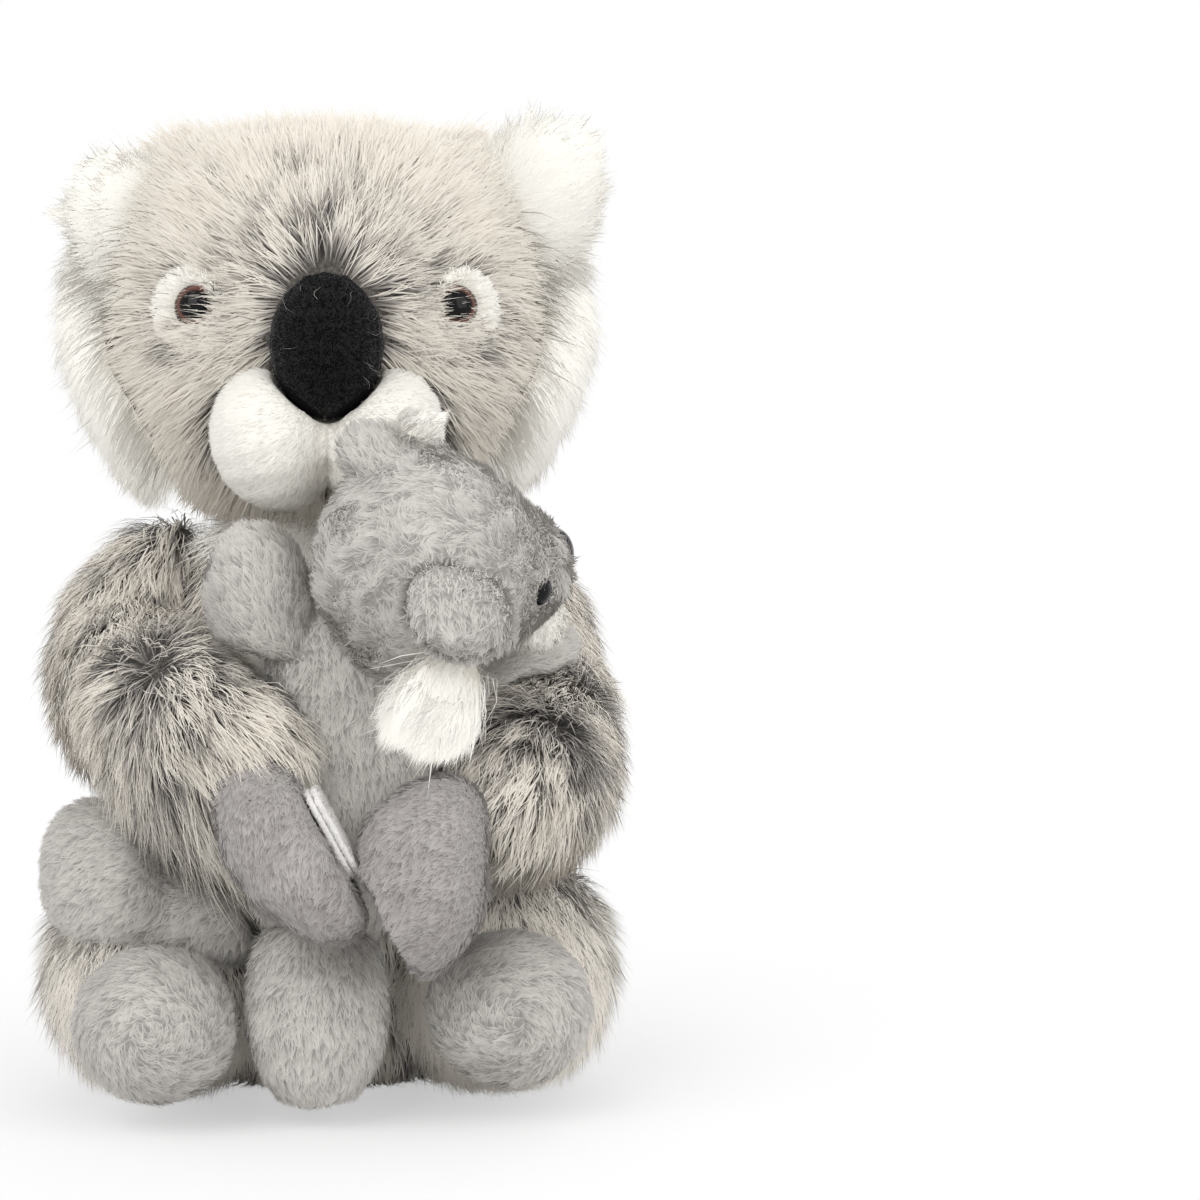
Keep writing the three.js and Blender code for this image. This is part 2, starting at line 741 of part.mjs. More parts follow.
for (const [side, sign] of sidesOfKoala) {
  const thighs = [thighForms.left, thighForms.right];
  addPiece(`arm_${side}`, cutBy(armForms[side](0), [torsoForm, faceForm, ...thighs]), plushGrey);
  const hand = handForms[side](0).subtract(palmBlock(-sign));
  addPiece(`hand_${side}`, cutBy(hand, [armForms.left, armForms.right]), velvetMauve);
  addPiece(`palm_patch_${side}`, fastenerPatch(sign), fastenerWhite);
}

// Legs and feet
for (const [side] of sidesOfKoala) {
  const thigh = cutBy(thighForms[side](0), [torsoForm]).subtract(floor);
  addPiece(`thigh_${side}`, thigh, plushGrey);
  addPiece(`foot_${side}`, cutBy(footForms[side](0), [thighForms[side]]), velvetGrey);
}

// Chest and belly panel: a thin layer that follows the torso inside an oval outline
const panelMiddle = panelRiseShare * torsoHeight;
const panelOutline = new THREE.CylinderGeometry(1, 1, torsoHalfDepth * 2, roundTurns);
panelOutline.scale(panelHalfWidth, 1, panelHalfHeight);
panelOutline.translate(0, torsoSetBack - torsoHalfDepth, panelMiddle);
const panelForm = (grow) => torsoForm(clearance + panelThickness + grow).intersect(toSolid(panelOutline));
const bellyPanel = cutBy(panelForm(0), [torsoForm, faceForm, muzzleForm, armForms.left, armForms.right]);
addPiece('belly_panel', bellyPanel, plushWhite);

// Baby, its frame: z along the face, y up through the crown
const chestFront = torsoSetBack - torsoHalfDepth;
const babyHeadMiddle = new THREE.Vector3(
  babyHeadOut,
  chestFront - panelThickness - babyHeadRadius + babySqueeze,
  babyHeadRise,
);
const babyAcross = new THREE.Vector3().crossVectors(babyUpward, babyFace).normalize();
const babyCrown = new THREE.Vector3().crossVectors(babyFace, babyAcross);

// A point of the baby's head from its distances across, up and forward
function onBaby(out, up, forward) {
  return babyHeadMiddle
    .clone()
    .addScaledVector(babyAcross, out)
    .addScaledVector(babyCrown, up)
    .addScaledVector(babyFace, forward);
}

// A matrix at a point of the baby's head, with its z axis along a direction of the head
function babyFrame(place, toward, upward = babyCrown) {
  const direction = onBaby(...toward).sub(babyHeadMiddle);
  return facing(onBaby(...place), direction, upward);
}

const babyHeadSteps = babyHeadWideShares.length - 1;
const babyHeadForm = stuffedForm({
  line: babyHeadWideShares.map((share, i) => {
    return onBaby(0, 0, (i / babyHeadSteps) * babyHeadLength - babyHeadRadius).toArray();
  }),
  wide: babyHeadWideShares.map((share) => share * babyHeadRadius),
  deep: babyHeadDeepShares.map((share) => share * babyHeadRadius),
  across: babyAcross,
  end: fullTip,
});
const babySnout = babyHeadLength - babyHeadRadius;

const babyBodySizes = [babyBodyReach, babyBodyHalfDepth, babyBodyLength];
const babyBodyStart = [
  babyBodyOut,
  chestFront - panelThickness - babyBodyHalfDepth + babySqueeze,
  babyBodyRise,
];
const babyBodyForm = stuffedForm({
  line: placeLine(babyBodyLineShares, babyBodySizes, babyBodyStart),
  wide: babyBodyWideShares.map((share) => share * babyBodyHalfWidth),
  deep: babyBodyWideShares.map((share) => share * babyBodyHalfDepth),
  across: sideways,
  start: fullTip,
  end: fullTip,
  small: true,
});

function babyLimb(shares, wideShares, length, radius, start) {
  return stuffedForm({
    line: placeLine(shares, [length, length, length], start),
    wide: wideShares.map((share) => share * radius),
    deep: wideShares.map((share) => share * radius),
    across: upright,
    small: true,
  });
}
const babyHip = babyBodyStart.map((value, i) => value + (i === 2 ? babyLegRadius / 2 : 0));
const babyShoulder = babyBodyStart.map((value, i) => value + (i === 2 ? babyBodyLength : 0));
const babyArmForms = {
  left: babyLimb(babyArmLeftShares, babyArmWideShares, babyArmLength, babyArmRadius, babyShoulder),
  right: babyLimb(babyArmRightShares, babyArmWideShares, babyArmLength, babyArmRadius, babyShoulder),
};
const babyLegForms = {
  left: babyLimb(babyLegLeftShares, babyLegLeftWideShares, babyLegLength, babyLegRadius, babyHip),
  right: stuffedForm({
    line: placeLine(babyLegRightShares, [babyLegLength, babyLegLength, babyLegLength], babyHip),
    wide: babyLegRightWideShares.map((share) => share * babyLegRadius),
    deep: babyLegRightWideShares.map((share) => share * babyLegRadius * babyLegDeepShare),
    across: sideways,
    end: fullTip,
    small: true,
  }),
};

const motherForms = [
  torsoForm,
  faceForm,
  muzzleForm,
  panelForm,
  armForms.left,
  armForms.right,
  handForms.left,
  handForms.right,
  thighForms.left,
  thighForms.right,
  footForms.left,
  footForms.right,
];
// The baby lifts straight off, so it is also cut clear of its way past the mother
function alongLift(form, step) {
  return (grow) => form(grow).translate(liftAway.clone().multiplyScalar(-step).toArray());
}
const liftForms = liftSteps.flatMap((step) => motherForms.map((form) => alongLift(form, step)));
const fitBaby = (solid, babyForms) => cutBy(solid, [...babyForms, ...motherForms, ...liftForms]);

// Baby, eyes and nose: hard pieces whose stems go into the head
const babyShank = [babyShankRadius, babyShankLength];
function babyEyeFrame(sign) {
  const seat = babyHeadForm.seat(babyEyeAlongShare, babyEyeAngle(sign));
  return facing(seat.point, seat.away, babyCrown);
}
function babyEyeAngle(sign) {
  return sign > 0 ? babyEyeTurn : Math.PI - babyEyeTurn;
}
const babyNoseSeat = [babyNoseOut, babyNoseRise, babySnout - babyNoseSink];
const babyNoseFrame = babyFrame(babyNoseSeat, [0, Math.sin(babyNoseLean), Math.cos(babyNoseLean)]);
const babyNoseOval = new THREE.Matrix4().makeScale(1, babyNoseHalfHeight / babyNoseHalfWidth, 1);
babyNoseFrame.multiply(babyNoseOval);
const babyNoseRoom = shank(babyNoseHalfWidth + clearance, clearance, overrun * 2, babyNoseFrame);
const babyStemRoom = [babyShankRadius + clearance, babyShankLength + clearance, overrun];
const babyNoseStemRoom = shank(...babyStemRoom, babyNoseFrame);

let babyHead = fitBaby(babyHeadForm(0), []).subtract(babyNoseRoom).subtract(babyNoseStemRoom);
for (const [side, sign] of sidesOfKoala) {
  const frame = babyEyeFrame(sign);
  const room = shank(babyEyeRadius + clearance, clearance, overrun, frame);
  const stemRoom = shank(...babyStemRoom, frame);
  babyHead = babyHead.subtract(room).subtract(stemRoom);
  addPiece(`baby_eye_${side}`, eyeSolid(babyEyeRadius, babyEyeDome, 0, ...babyShank, frame), blackPlastic);
}
addPiece('baby_head', babyHead, velvetGrey);
const babyNose = eyeSolid(babyNoseHalfWidth, babyNoseDepth, 0, ...babyShank, babyNoseFrame);
addPiece('baby_nose', babyNose, blackPlastic);

const babyMuzzleForm = ellipsoid(
  [babyMuzzleHalfWidth, babyMuzzleHalfHeight, babyMuzzleHalfDepth],
  babyFrame(babyMuzzlePlace, [0, 0, 1]),
);
addPiece('baby_muzzle', fitBaby(babyMuzzleForm(0), [babyHeadForm]).subtract(babyNoseRoom), plushWhite);

// Baby, ears: a grey back over a pale lining that hangs below it
const babyEars = {};
function babyEarPart(halves, place, sign, lean) {
  const toward = [sign * Math.sin(lean), Math.cos(lean), 0];
  return ellipsoid(halves, babyFrame(place, toward, babyFace));
}
for (const [side, sign] of sidesOfKoala) {
  const outward = ([out, up, on]) => [sign * out, up, on].map((share) => share * babyHeadRadius);
  const earPlace = outward(babyEarShares[side]);
  const fluffPlace = outward(babyFluffShares[side]);
  const ear = babyEarPart(babyEarHalves, earPlace, sign, babyEarLean);
  const fluff = babyEarPart(babyFluffHalves[side], fluffPlace, sign, babyFluffLean);
  babyEars[side] = ear;
  addPiece(`baby_ear_${side}`, fitBaby(ear(0), [babyHeadForm]), velvetGrey);
  addPiece(`baby_ear_lining_${side}`, fitBaby(fluff(0), [babyHeadForm, ear]), plushWhite);
}

// Baby, body and limbs
addPiece('baby_body', fitBaby(babyBodyForm(0), [babyHeadForm, babyEars.right]), velvetGrey);
const babyCore = [babyHeadForm, babyBodyForm, babyMuzzleForm];
for (const [side] of sidesOfKoala) {
  const inner = side === 'left' ? [babyLegForms.right] : [];
  addPiece(`baby_arm_${side}`, fitBaby(babyArmForms[side](0), babyCore), velvetGrey);
  addPiece(`baby_leg_${side}`, fitBaby(babyLegForms[side](0), [...babyCore, ...inner]), velvetGrey);
}

export default koala;
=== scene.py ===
"""A plush mother koala that hugs a removable plush baby, dressed in its pile.

Every stuffed piece is an even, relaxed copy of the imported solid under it. The pile is grown on
these skins as tapered locks worked out with numpy: long and frosted on the mother, white and fluffy
on the ears, ruffs and chest, short and dense on the hands, the feet and the baby.
"""

import json
import math

import bpy
import numpy as np
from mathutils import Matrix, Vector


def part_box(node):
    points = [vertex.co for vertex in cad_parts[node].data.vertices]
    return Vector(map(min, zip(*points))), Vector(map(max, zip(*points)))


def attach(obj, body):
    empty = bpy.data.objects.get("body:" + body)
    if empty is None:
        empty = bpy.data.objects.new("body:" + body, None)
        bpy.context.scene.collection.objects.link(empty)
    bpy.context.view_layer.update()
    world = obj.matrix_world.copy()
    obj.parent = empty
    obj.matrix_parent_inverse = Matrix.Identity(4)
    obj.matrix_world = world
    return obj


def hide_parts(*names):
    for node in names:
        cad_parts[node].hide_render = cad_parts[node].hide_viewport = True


bl_info = {
    "name": "Plush koala with baby",
    "version": (1, 0, 0),
    "blender": (4, 5, 0),
    "location": "3D Viewport > Sidebar > Koala",
    "description": "Grows the pile of a plush koala and sets its studio",
    "category": "Object",
}

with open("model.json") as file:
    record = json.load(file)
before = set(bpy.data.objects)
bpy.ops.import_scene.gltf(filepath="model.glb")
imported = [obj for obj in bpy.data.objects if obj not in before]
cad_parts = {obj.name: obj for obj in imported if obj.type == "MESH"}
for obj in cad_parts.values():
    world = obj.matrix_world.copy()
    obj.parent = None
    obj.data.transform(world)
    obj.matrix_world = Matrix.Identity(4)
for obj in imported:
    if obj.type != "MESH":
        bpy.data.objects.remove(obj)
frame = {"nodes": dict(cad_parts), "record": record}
NODES = frame["nodes"]
SLOTS = {row["node"]: row["material_slot"] for row in frame["record"]["subparts"]}
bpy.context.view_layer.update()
MM = 0.001
UP = np.array([0.0, 0.0, 1.0])
SIDES = {"left": 1, "right": -1}
MOTHER = "mother"
BABY = "baby"
SKINS = {}

# Solids inside a skin, which leave its pile alone
INNER_NODES = {"body_stuffing", "head_stuffing", "pellet_pouch", "eye_washer_left", "eye_washer_right"}


# Sizes and colours that a user would change


def length_setting(name, description, default):
    """A length in metres."""
    return bpy.props.FloatProperty(name=name, description=description, default=default, unit="LENGTH")


def locks_setting(default):
    """How close the locks of fibres stand."""
    return bpy.props.FloatProperty(
        name="Locks", description="Locks on each square millimetre of skin", default=default
    )


def colour_setting(name, description, default):
    """An sRGB hex colour."""
    return bpy.props.StringProperty(name=name, description=description, default=default)


class KoalaLongPile(bpy.types.PropertyGroup):
    """The mother's long frosted pile."""

    length: length_setting("Length", "Length of the long pile", 0.0155)
    head_length: length_setting("Head length", "Length of the pile on the head", 0.017)
    width: length_setting("Lock width", "Width of one lock of fibres", 0.00037)
    density: locks_setting(1.85)
    root: colour_setting("Root", "Colour at the roots", "#403d3a")
    middle: colour_setting("Middle", "Colour half way", "#96908a")
    tip: colour_setting("Tip", "Colour at the tips", "#e9e2d6")


class KoalaWhitePile(bpy.types.PropertyGroup):
    """The white pile of the ears, ruffs, chest and muzzle."""

    length: length_setting("Length", "Length of the white pile", 0.013)
    muzzle_length: length_setting("Muzzle length", "Length of the pile on the muzzle", 0.0028)
    root: colour_setting("Root", "Colour at the roots", "#e6e1d6")
    tip: colour_setting("Tip", "Colour at the tips", "#fbf8f0")


class KoalaShortPile(bpy.types.PropertyGroup):
    """The short pile of the hands, the feet and the baby."""

    length: length_setting("Length", "Length of the short pile", 0.0042)
    width: length_setting("Lock width", "Width of one short lock", 0.0004)
    density: locks_setting(2.6)
    grey: colour_setting("Grey", "Grey of the baby and the feet", "#b1ada8")
    mauve: colour_setting("Mauve", "Mauve grey of the hands", "#979190")


class KoalaStage(bpy.types.PropertyGroup):
    """The camera, which stands level with the mother's eyes and aims right of the toy."""

    distance: length_setting("Distance", "From the camera to the toy", 1.0)
    height: length_setting("Height", "Height of the camera", 0.208)
    picture: length_setting("Picture", "Width of the picture at the toy", 0.3445)
    aim_right: length_setting("Aim right", "How far right of the toy the camera aims", 0.0778)
    aim_down: length_setting("Aim down", "How far below its own height it aims", 0.0753)


# Colours and materials


def linear(colour):
    """A hex sRGB colour as linear values: c/12.92 below 0.04045, else ((c + 0.055)/1.055)^2.4."""
    values = [int(colour.lstrip("#")[i : i + 2], 16) / 255 for i in (0, 2, 4)]
    return [v / 12.92 if v <= 0.04045 else ((v + 0.055) / 1.055) ** 2.4 for v in values] + [1.0]


def add_node(tree, kind, inputs=None, links=None, **settings):
    """Adds a node, gives it its settings and input values, and links other outputs to it."""
    made = tree.nodes.new(kind)
    for key, value in settings.items():
        setattr(made, key, value)
    for key, value in (inputs or {}).items():
        made.inputs[key].default_value = value
    for key, output in (links or {}).items():
        tree.links.new(output, made.inputs[key])
    return made


def colour_run(tree, factor, stops):
    """A run of colour from (place, hex colour) stops, read at a factor."""
    made = add_node(tree, "ShaderNodeValToRGB", links={"Fac": factor})
    elements = made.color_ramp.elements
    while len(elements) < len(stops):
        elements.new(0.5)
    for element, (place, colour) in zip(elements, stops):
        element.position = place
        element.color = linear(colour)
    return made.outputs["Color"]


def finished(name, tree_maker, **constants):
    """The material of that name. tree_maker returns its colour and its bump, and the constants are
    set on the surface shader's own sockets."""
    if name in bpy.data.materials:
        return bpy.data.materials[name]
    material = bpy.data.materials.new(name)
    material.use_nodes = True
    tree = material.node_tree
    tree.nodes.clear()
    colour, bump = tree_maker(tree)
    links = {"Base Color": colour} if bump is None else {"Base Color": colour, "Normal": bump}
    surface = add_node(tree, "ShaderNodeBsdfPrincipled", constants, links)
    add_node(tree, "ShaderNodeOutputMaterial", links={"Surface": surface.outputs["BSDF"]})
    return material


def pile_material(name, stops, spread):
    """Crimped polyester fibres: colour runs from root to tip along each lock, and the lock's own
    shade moves the run, which gives the eye dark partings and frosted tips."""

    def tree_maker(tree):
        along = add_node(tree, "ShaderNodeAttribute", attribute_name="along")
        shade = add_node(tree, "ShaderNodeAttribute", attribute_name="shade")
        moved = add_node(
            tree,
            "ShaderNodeMath",
            {1: spread, 2: -spread / 2},
            {0: shade.outputs["Fac"]},
            operation="MULTIPLY_ADD",
        )
        place = add_node(
            tree, "ShaderNodeMath", links={0: along.outputs["Fac"], 1: moved.outputs[0]}, operation="ADD"
        )
        return colour_run(tree, place.outputs[0], stops), None

    return finished(name, tree_maker, **{"Roughness": 0.75, "Specular IOR Level": 0.3, "Sheen Weight": 0.15})


def grained_material(name, kind, grain, stops, bump=None, detail=None, **constants):
    """A material whose colour runs over a texture of that kind, with grains so many millimetres
    wide. bump holds the strength and the depth in millimetres of its relief."""

    def tree_maker(tree):
        place = add_node(tree, "ShaderNodeTexCoord").outputs["Object"]
        inputs = {"Scale": 1 / (grain * MM), **(detail or {})}
        height = add_node(tree, kind, inputs, {"Vector": place}).outputs[0]
        colour = colour_run(tree, height, stops)
        if bump is None:
            return colour, None
        inputs = {"Strength": bump[0], "Distance": bump[1] * MM}
        return colour, add_node(tree, "ShaderNodeBump", inputs, {"Height": height}).outputs["Normal"]

    return finished(name, tree_maker, **constants)


def knit_material(name, dark, light, loop=1.1):
    """Warp-knitted backing cloth: loops about a millimetre apart, seen only where the pile parts."""
    stops = [(0.0, light), (0.7, dark)]
    return grained_material(name, "ShaderNodeTexVoronoi", loop, stops, (0.5, 0.3), Roughness=0.95)


def felt_material():
    """Needled felt: matt black, with a fine matted grain and a few greyer fibres."""
    stops = [(0.35, "#040405"), (0.6, "#0b0b0c"), (0.85, "#19191b")]
    matted = {"Detail": 6.0, "Roughness": 0.7}
    matt = {"Roughness": 1.0, "Specular IOR Level": 0.1}
    return grained_material(
        "needled_black_felt", "ShaderNodeTexNoise", 0.9, stops, (0.8, 0.35), matted, **matt
    )


def gloss_material(name, stops):
    """Moulded acrylic: a clear polished dome over rings of paint, so the lamps show as sharp
    points."""

    def tree_maker(tree):
        ring = add_node(tree, "ShaderNodeAttribute", attribute_name="ring")
        return colour_run(tree, ring.outputs["Fac"], stops), None

    return finished(name, tree_maker, **{"Roughness": 0.08, "IOR": 1.49, "Specular IOR Level": 0.2})


def tape_material():
    """Woven loop tape: soft white loops in rows half a millimetre apart."""
    stops = [(0.0, "#f4f2ef"), (0.7, "#dedbd8")]
    return grained_material(
        "woven_loop_tape", "ShaderNodeTexVoronoi", 0.5, stops, (0.5, 0.2), Roughness=0.9
    )


def tape_loops():
    """The loops that stand on the tape: fine, white and a little glossy at the tips."""
    return pile_material("nylon_loops", [(0.0, "#e4e1de"), (1.0, "#faf8f5")], 0.4)


def moulded_material():
    """Moulded polypropylene: milky, with a faint grain from the mould."""
    stops = [(0.3, "#d9d9d4"), (0.7, "#ecece8")]
    return grained_material("moulded_polypropylene", "ShaderNodeTexNoise", 3, stops, Roughness=0.4)


def frosted_pile():
    """The mother's pile: charcoal roots, taupe half way and cream tips."""
    pile = bpy.context.scene.koala_long_pile
    stops = [(0.0, pile.root), (0.42, pile.middle), (0.85, pile.tip)]
    return pile_material("frosted_polyester_pile", stops, 0.9)


def white_pile():
    """The white pile, a little warmer at the roots."""
    pile = bpy.context.scene.koala_white_pile
    return pile_material("white_polyester_pile", [(0.0, pile.root), (0.5, pile.tip)], 0.5)


def grey_velour():
    """The short pile of the baby and the feet: light grey, with darker roots as painted shade in the partings
    between the locks.
    """
    pile = bpy.context.scene.koala_short_pile
    return pile_material("grey_velour", [(0.0, "#8f8b86"), (0.34, pile.grey), (1.0, "#d3cfc9")], 0.55)


def mauve_velour():
    """The short pile of the hands: mauve grey, with darker roots as painted shade in the partings between the
    locks.
    """
    pile = bpy.context.scene.koala_short_pile
    return pile_material("mauve_velour", [(0.0, "#7a7472"), (0.34, pile.mauve), (1.0, "#bcb7b4")], 0.55)


def grey_knit():
    """The backing under the frosted pile."""
    return knit_material("grey_knit_backing", "#4b4743", "#6e6962")


def white_knit():
    """The backing under the white pile."""
    return knit_material("white_knit_backing", "#d9d5cc", "#efece5")


def velour_knit():
    """The backing under the short pile."""
    return knit_material("velour_knit_backing", "#94918d", "#aeaaa6")


# Small sums on arrays


def mm(*place):
    """A place or a move in millimetres, as an array in metres."""
    return np.array(place) * MM


def unit(vectors):
    """Vectors divided by their length."""
    return vectors / np.maximum(np.linalg.norm(vectors, axis=-1, keepdims=True), 1e-12)


def rise(low, high, values):
    """0 below low, 1 above high, and 3s^2 - 2s^3 between."""
    share = np.clip((values - low) / (high - low), 0, 1)
    return share * share * (3 - 2 * share)


def hump(points, middle, radius):
    """exp(-(d/radius)^2), with d the distance from the middle."""
    return np.exp(-((points - middle) ** 2).sum(1) / radius**2)


def waves(points, size, seed):
    """Smooth noise from about -1 to 1: ten sine waves about that size, in seeded directions."""
    rng = np.random.default_rng(seed)
    ways = unit(rng.normal(size=(10, 3))) * rng.uniform(0.6, 1.6, (10, 1)) * (2 * math.pi / size)
    return np.sin(points @ ways.T + rng.uniform(0, 2 * math.pi, 10)).sum(1) / 4


def normals_of(points, triangles):
    """Point normals: the sum of the area-weighted normals of the triangles round each point."""
    a, b, c = (points[triangles[:, corner]] for corner in range(3))
    face = np.cross(b - a, c - a)
    total = np.zeros_like(points)
    for corner in range(3):
        for axis in range(3):
            total[:, axis] += np.bincount(triangles[:, corner], face[:, axis], len(points))
    return unit(total)


def relaxed(points, triangles, rounds):
    """Moves each point half way to the mean of its neighbours, then back by 0.52 of the same
    measure, so that facets melt and the volume stays."""
    ends = np.concatenate([triangles[:, [0, 1]], triangles[:, [1, 2]], triangles[:, [2, 0]]])
    near, far = np.concatenate([ends[:, 0], ends[:, 1]]), np.concatenate([ends[:, 1], ends[:, 0]])
    count = np.bincount(near, minlength=len(points))[:, None]
    for _ in range(rounds):
        for step in (0.5, -0.52):
            mean = np.stack([np.bincount(near, points[far, axis], len(points)) for axis in range(3)], 1)
            points = points + step * (mean / count - points)
    return points


def outer_shell(points, triangles):
    """The shell that holds the outermost point. Each round, a triangle's points take the least
    label among them, and labels follow the points they name, until nothing changes."""
    label = np.arange(len(points))
    while True:
        least = label[triangles].min(1)
        new = label.copy()
        np.minimum.at(new, triangles.ravel(), np.repeat(least, 3))
        new = new[new]
        if (new == label).all():
            break
        label = new
    kept = label == label[points[:, 0].argmax()]
    place = np.cumsum(kept) - 1
    return points[kept], place[triangles[kept[triangles[:, 0]]]]


# Meshes


def mesh_object(name, points, triangles, material, body, normals=None):
    """A mesh piece from arrays of points and triangles, which rides on a body."""
    mesh = bpy.data.meshes.new(name)
    mesh.vertices.add(len(points))
    mesh.vertices.foreach_set("co", np.asarray(points, np.float32).ravel())
    mesh.loops.add(triangles.size)
    mesh.loops.foreach_set("vertex_index", np.asarray(triangles, np.int32).ravel())
    mesh.polygons.add(len(triangles))
    mesh.polygons.foreach_set("loop_start", np.arange(0, triangles.size, 3, dtype=np.int32))
    mesh.update(calc_edges=True)
    mesh.polygons.foreach_set("use_smooth", np.ones(len(triangles), bool))
    if normals is not None:
        mesh.normals_split_custom_set_from_vertices(normals)
    mesh.materials.append(material)
    piece = bpy.data.objects.new(name, mesh)
    bpy.context.scene.collection.objects.link(piece)
    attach(piece, body)
    return piece


def add_values(piece, name, values):
    """A float attribute with one value for each point."""
    attribute = piece.data.attributes.new(name, "FLOAT", "POINT")
    attribute.data.foreach_set("value", np.asarray(values, np.float32))


def arrays_of(mesh):
    """The points and triangles of a mesh."""
    points = np.empty(len(mesh.vertices) * 3, np.float32)
    mesh.vertices.foreach_get("co", points)
    mesh.calc_loop_triangles()
    triangles = np.empty(len(mesh.loop_triangles) * 3, np.int32)
    mesh.loop_triangles.foreach_get("vertices", triangles)
    return points.reshape(-1, 3).astype(float), triangles.reshape(-1, 3)


def joined_nodes(nodes):
    """The points and triangles of several nodes as one pair of arrays."""
    points, triangles, first = [], [], 0
    for node in nodes:
        own_points, own_triangles = arrays_of(NODES[node].data)
        points.append(own_points)
        triangles.append(own_triangles + first)
        first += len(own_points)
    return np.concatenate(points), np.concatenate(triangles)


def helper_object(points, triangles):
    """A helper from arrays, removed once it has been read."""
    mesh = bpy.data.meshes.new("helper")
    mesh.from_pydata(points.tolist(), [], triangles.tolist())
    helper = bpy.data.objects.new("helper", mesh)
    bpy.context.scene.collection.objects.link(helper)
    return helper


def modified_arrays(helper):
    """The arrays of a helper with its modifiers applied."""
    graph = bpy.context.evaluated_depsgraph_get()
    return arrays_of(helper.evaluated_get(graph).to_mesh())


class Skin:
    """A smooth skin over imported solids: its points, triangles and normals, and the room above."""

    def __init__(self, node, closing, covers, voxel, rounds, inset, shape):
        helper = helper_object(*joined_nodes([node, *closing]))
        remesh = helper.modifiers.new("even", "REMESH")
        remesh.mode = "VOXEL"
        remesh.voxel_size = voxel
        self.points, self.triangles = outer_shell(*modified_arrays(helper))
        bpy.data.objects.remove(helper)
        self.points = relaxed(self.points, self.triangles, rounds)
        self.normals = normals_of(self.points, self.triangles)
        self.room = self.room_above([n for n in NODES if n not in {node, *INNER_NODES}])
        self.clear = rise(1.2 * MM, 3 * MM, self.room_above(covers)) if covers else 1.0
        self.points = self.points - inset * self.normals
        if shape is not None:
            self.points = shape(self.points)
            self.normals = normals_of(self.points, self.triangles)
        self.points[:, 2] = np.maximum(self.points[:, 2], 0.1 * MM)

    def room_above(self, others):
        """How far each point is from the nearest other solid in front of it, up to 60 mm."""
        around = helper_object(*joined_nodes(others))
        helper = helper_object(self.points, self.triangles)
        wrap = helper.modifiers.new("nearest", "SHRINKWRAP")
        wrap.target = around
        wrap.wrap_method = "NEAREST_SURFACEPOINT"
        nearest, _ = modified_arrays(helper)
        bpy.data.objects.remove(helper)
        bpy.data.objects.remove(around)
        gap = nearest - self.points
        distance = np.linalg.norm(gap, axis=1)
        ahead = (gap * self.normals).sum(1) / np.maximum(distance, 1e-9)
        return np.where(ahead > 0.1, np.minimum(distance, 60 * MM), 60 * MM)

    def areas(self):
        """The area of each triangle."""
        a, b, c = (self.points[self.triangles[:, corner]] for corner in range(3))
        return np.linalg.norm(np.cross(b - a, c - a), axis=1) / 2

    def scatter(self, count, weights, rng):
        """Seeded roots on the skin, as many in each triangle as its area and weight ask for, with
        their normals and the room above them."""
        total = np.cumsum(self.areas() * weights[self.triangles].mean(1))
        pick = np.searchsorted(total, rng.random(count) * total[-1])
        spot = self.triangles[np.minimum(pick, len(self.triangles) - 1)]
        first, second = np.sqrt(rng.random(count)), rng.random(count)
        corners = np.stack([1 - first, first * (1 - second), first * second], 1)
        roots = (self.points[spot] * corners[:, :, None]).sum(1)
        normals = unit((self.normals[spot] * corners[:, :, None]).sum(1))
        return roots, normals, (self.room[spot] * corners).sum(1)


def skin_piece(
    name, node, body, material, closing=(), covers=(), voxel=2.2 * MM, rounds=14, fill=0.8,
    inset=0.0, shape=None,
):
    """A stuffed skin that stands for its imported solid, drawn in to leave part of their depth to
    the pile, and pulled a few millimetres by its shape function. Nodes that cover it keep the
    pile from growing under them."""
    skin = Skin(node, closing, covers, voxel, rounds, inset, shape)
    piece = mesh_object(name, skin.points, skin.triangles, material, body)
    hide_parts(node)
    SKINS[name] = skin
    return skin


# Pile


# How the locks differ from one another
LOCK_SHAKE = 0.28  # how far roots stray over the edge of their cell, in cells
BLADE_ROLL = 0.2  # how far a blade rolls about its own way
WAY_SPREAD = 0.12  # how far it strays from the flow, and its light from that of the skin
LEAN_SPREAD = 9  # in degrees
LEAN_LIMITS = (4, 87)  # in degrees
LENGTH_SPREAD = (0.7, 1.15)
WIDTH_SPREAD = (0.7, 1.3)
CURL_TURNS = (1.2, 3.0)  # in half turns
DRIFT_SIZE = 11 * MM
FULL_ROOM = 12 * MM  # the room above a skin that leaves its pile at full length


def moved(x, y, z):
    """A shape function that moves a skin by so many millimetres."""
    return lambda points: points + mm(x, y, z)


def towards(x, y, z):
    """A flow that is the same everywhere."""
    return lambda points: np.tile([x, y, z], (len(points), 1))


def pulled(points, place, move, reach=17):
    """A skin pulled by a move at a place, and alike on the other side, all in millimetres."""
    for sign in SIDES.values():
        flip = np.array([sign, 1, 1])
        near = hump(points, mm(*place) * flip, reach * MM)
        points = points + mm(*move) * flip * near[:, None]
    return points


def pull_to_locks(roots, tips, size, pull, rng):
    """The move of each tip towards the mean tip of its cell in a shaken grid of that size, and a
    tone for each cell."""
    shaken = roots + rng.normal(size=roots.shape) * size * LOCK_SHAKE
    cells = np.floor(shaken / size).astype(np.int64)
    _, cell = np.unique(cells, axis=0, return_inverse=True)
    cell = cell.ravel()
    count = np.bincount(cell)
    mean = np.stack([np.bincount(cell, tips[:, axis]) / count for axis in range(3)], 1)
    return (mean[cell] - tips) * pull, rng.normal(size=len(count))[cell]


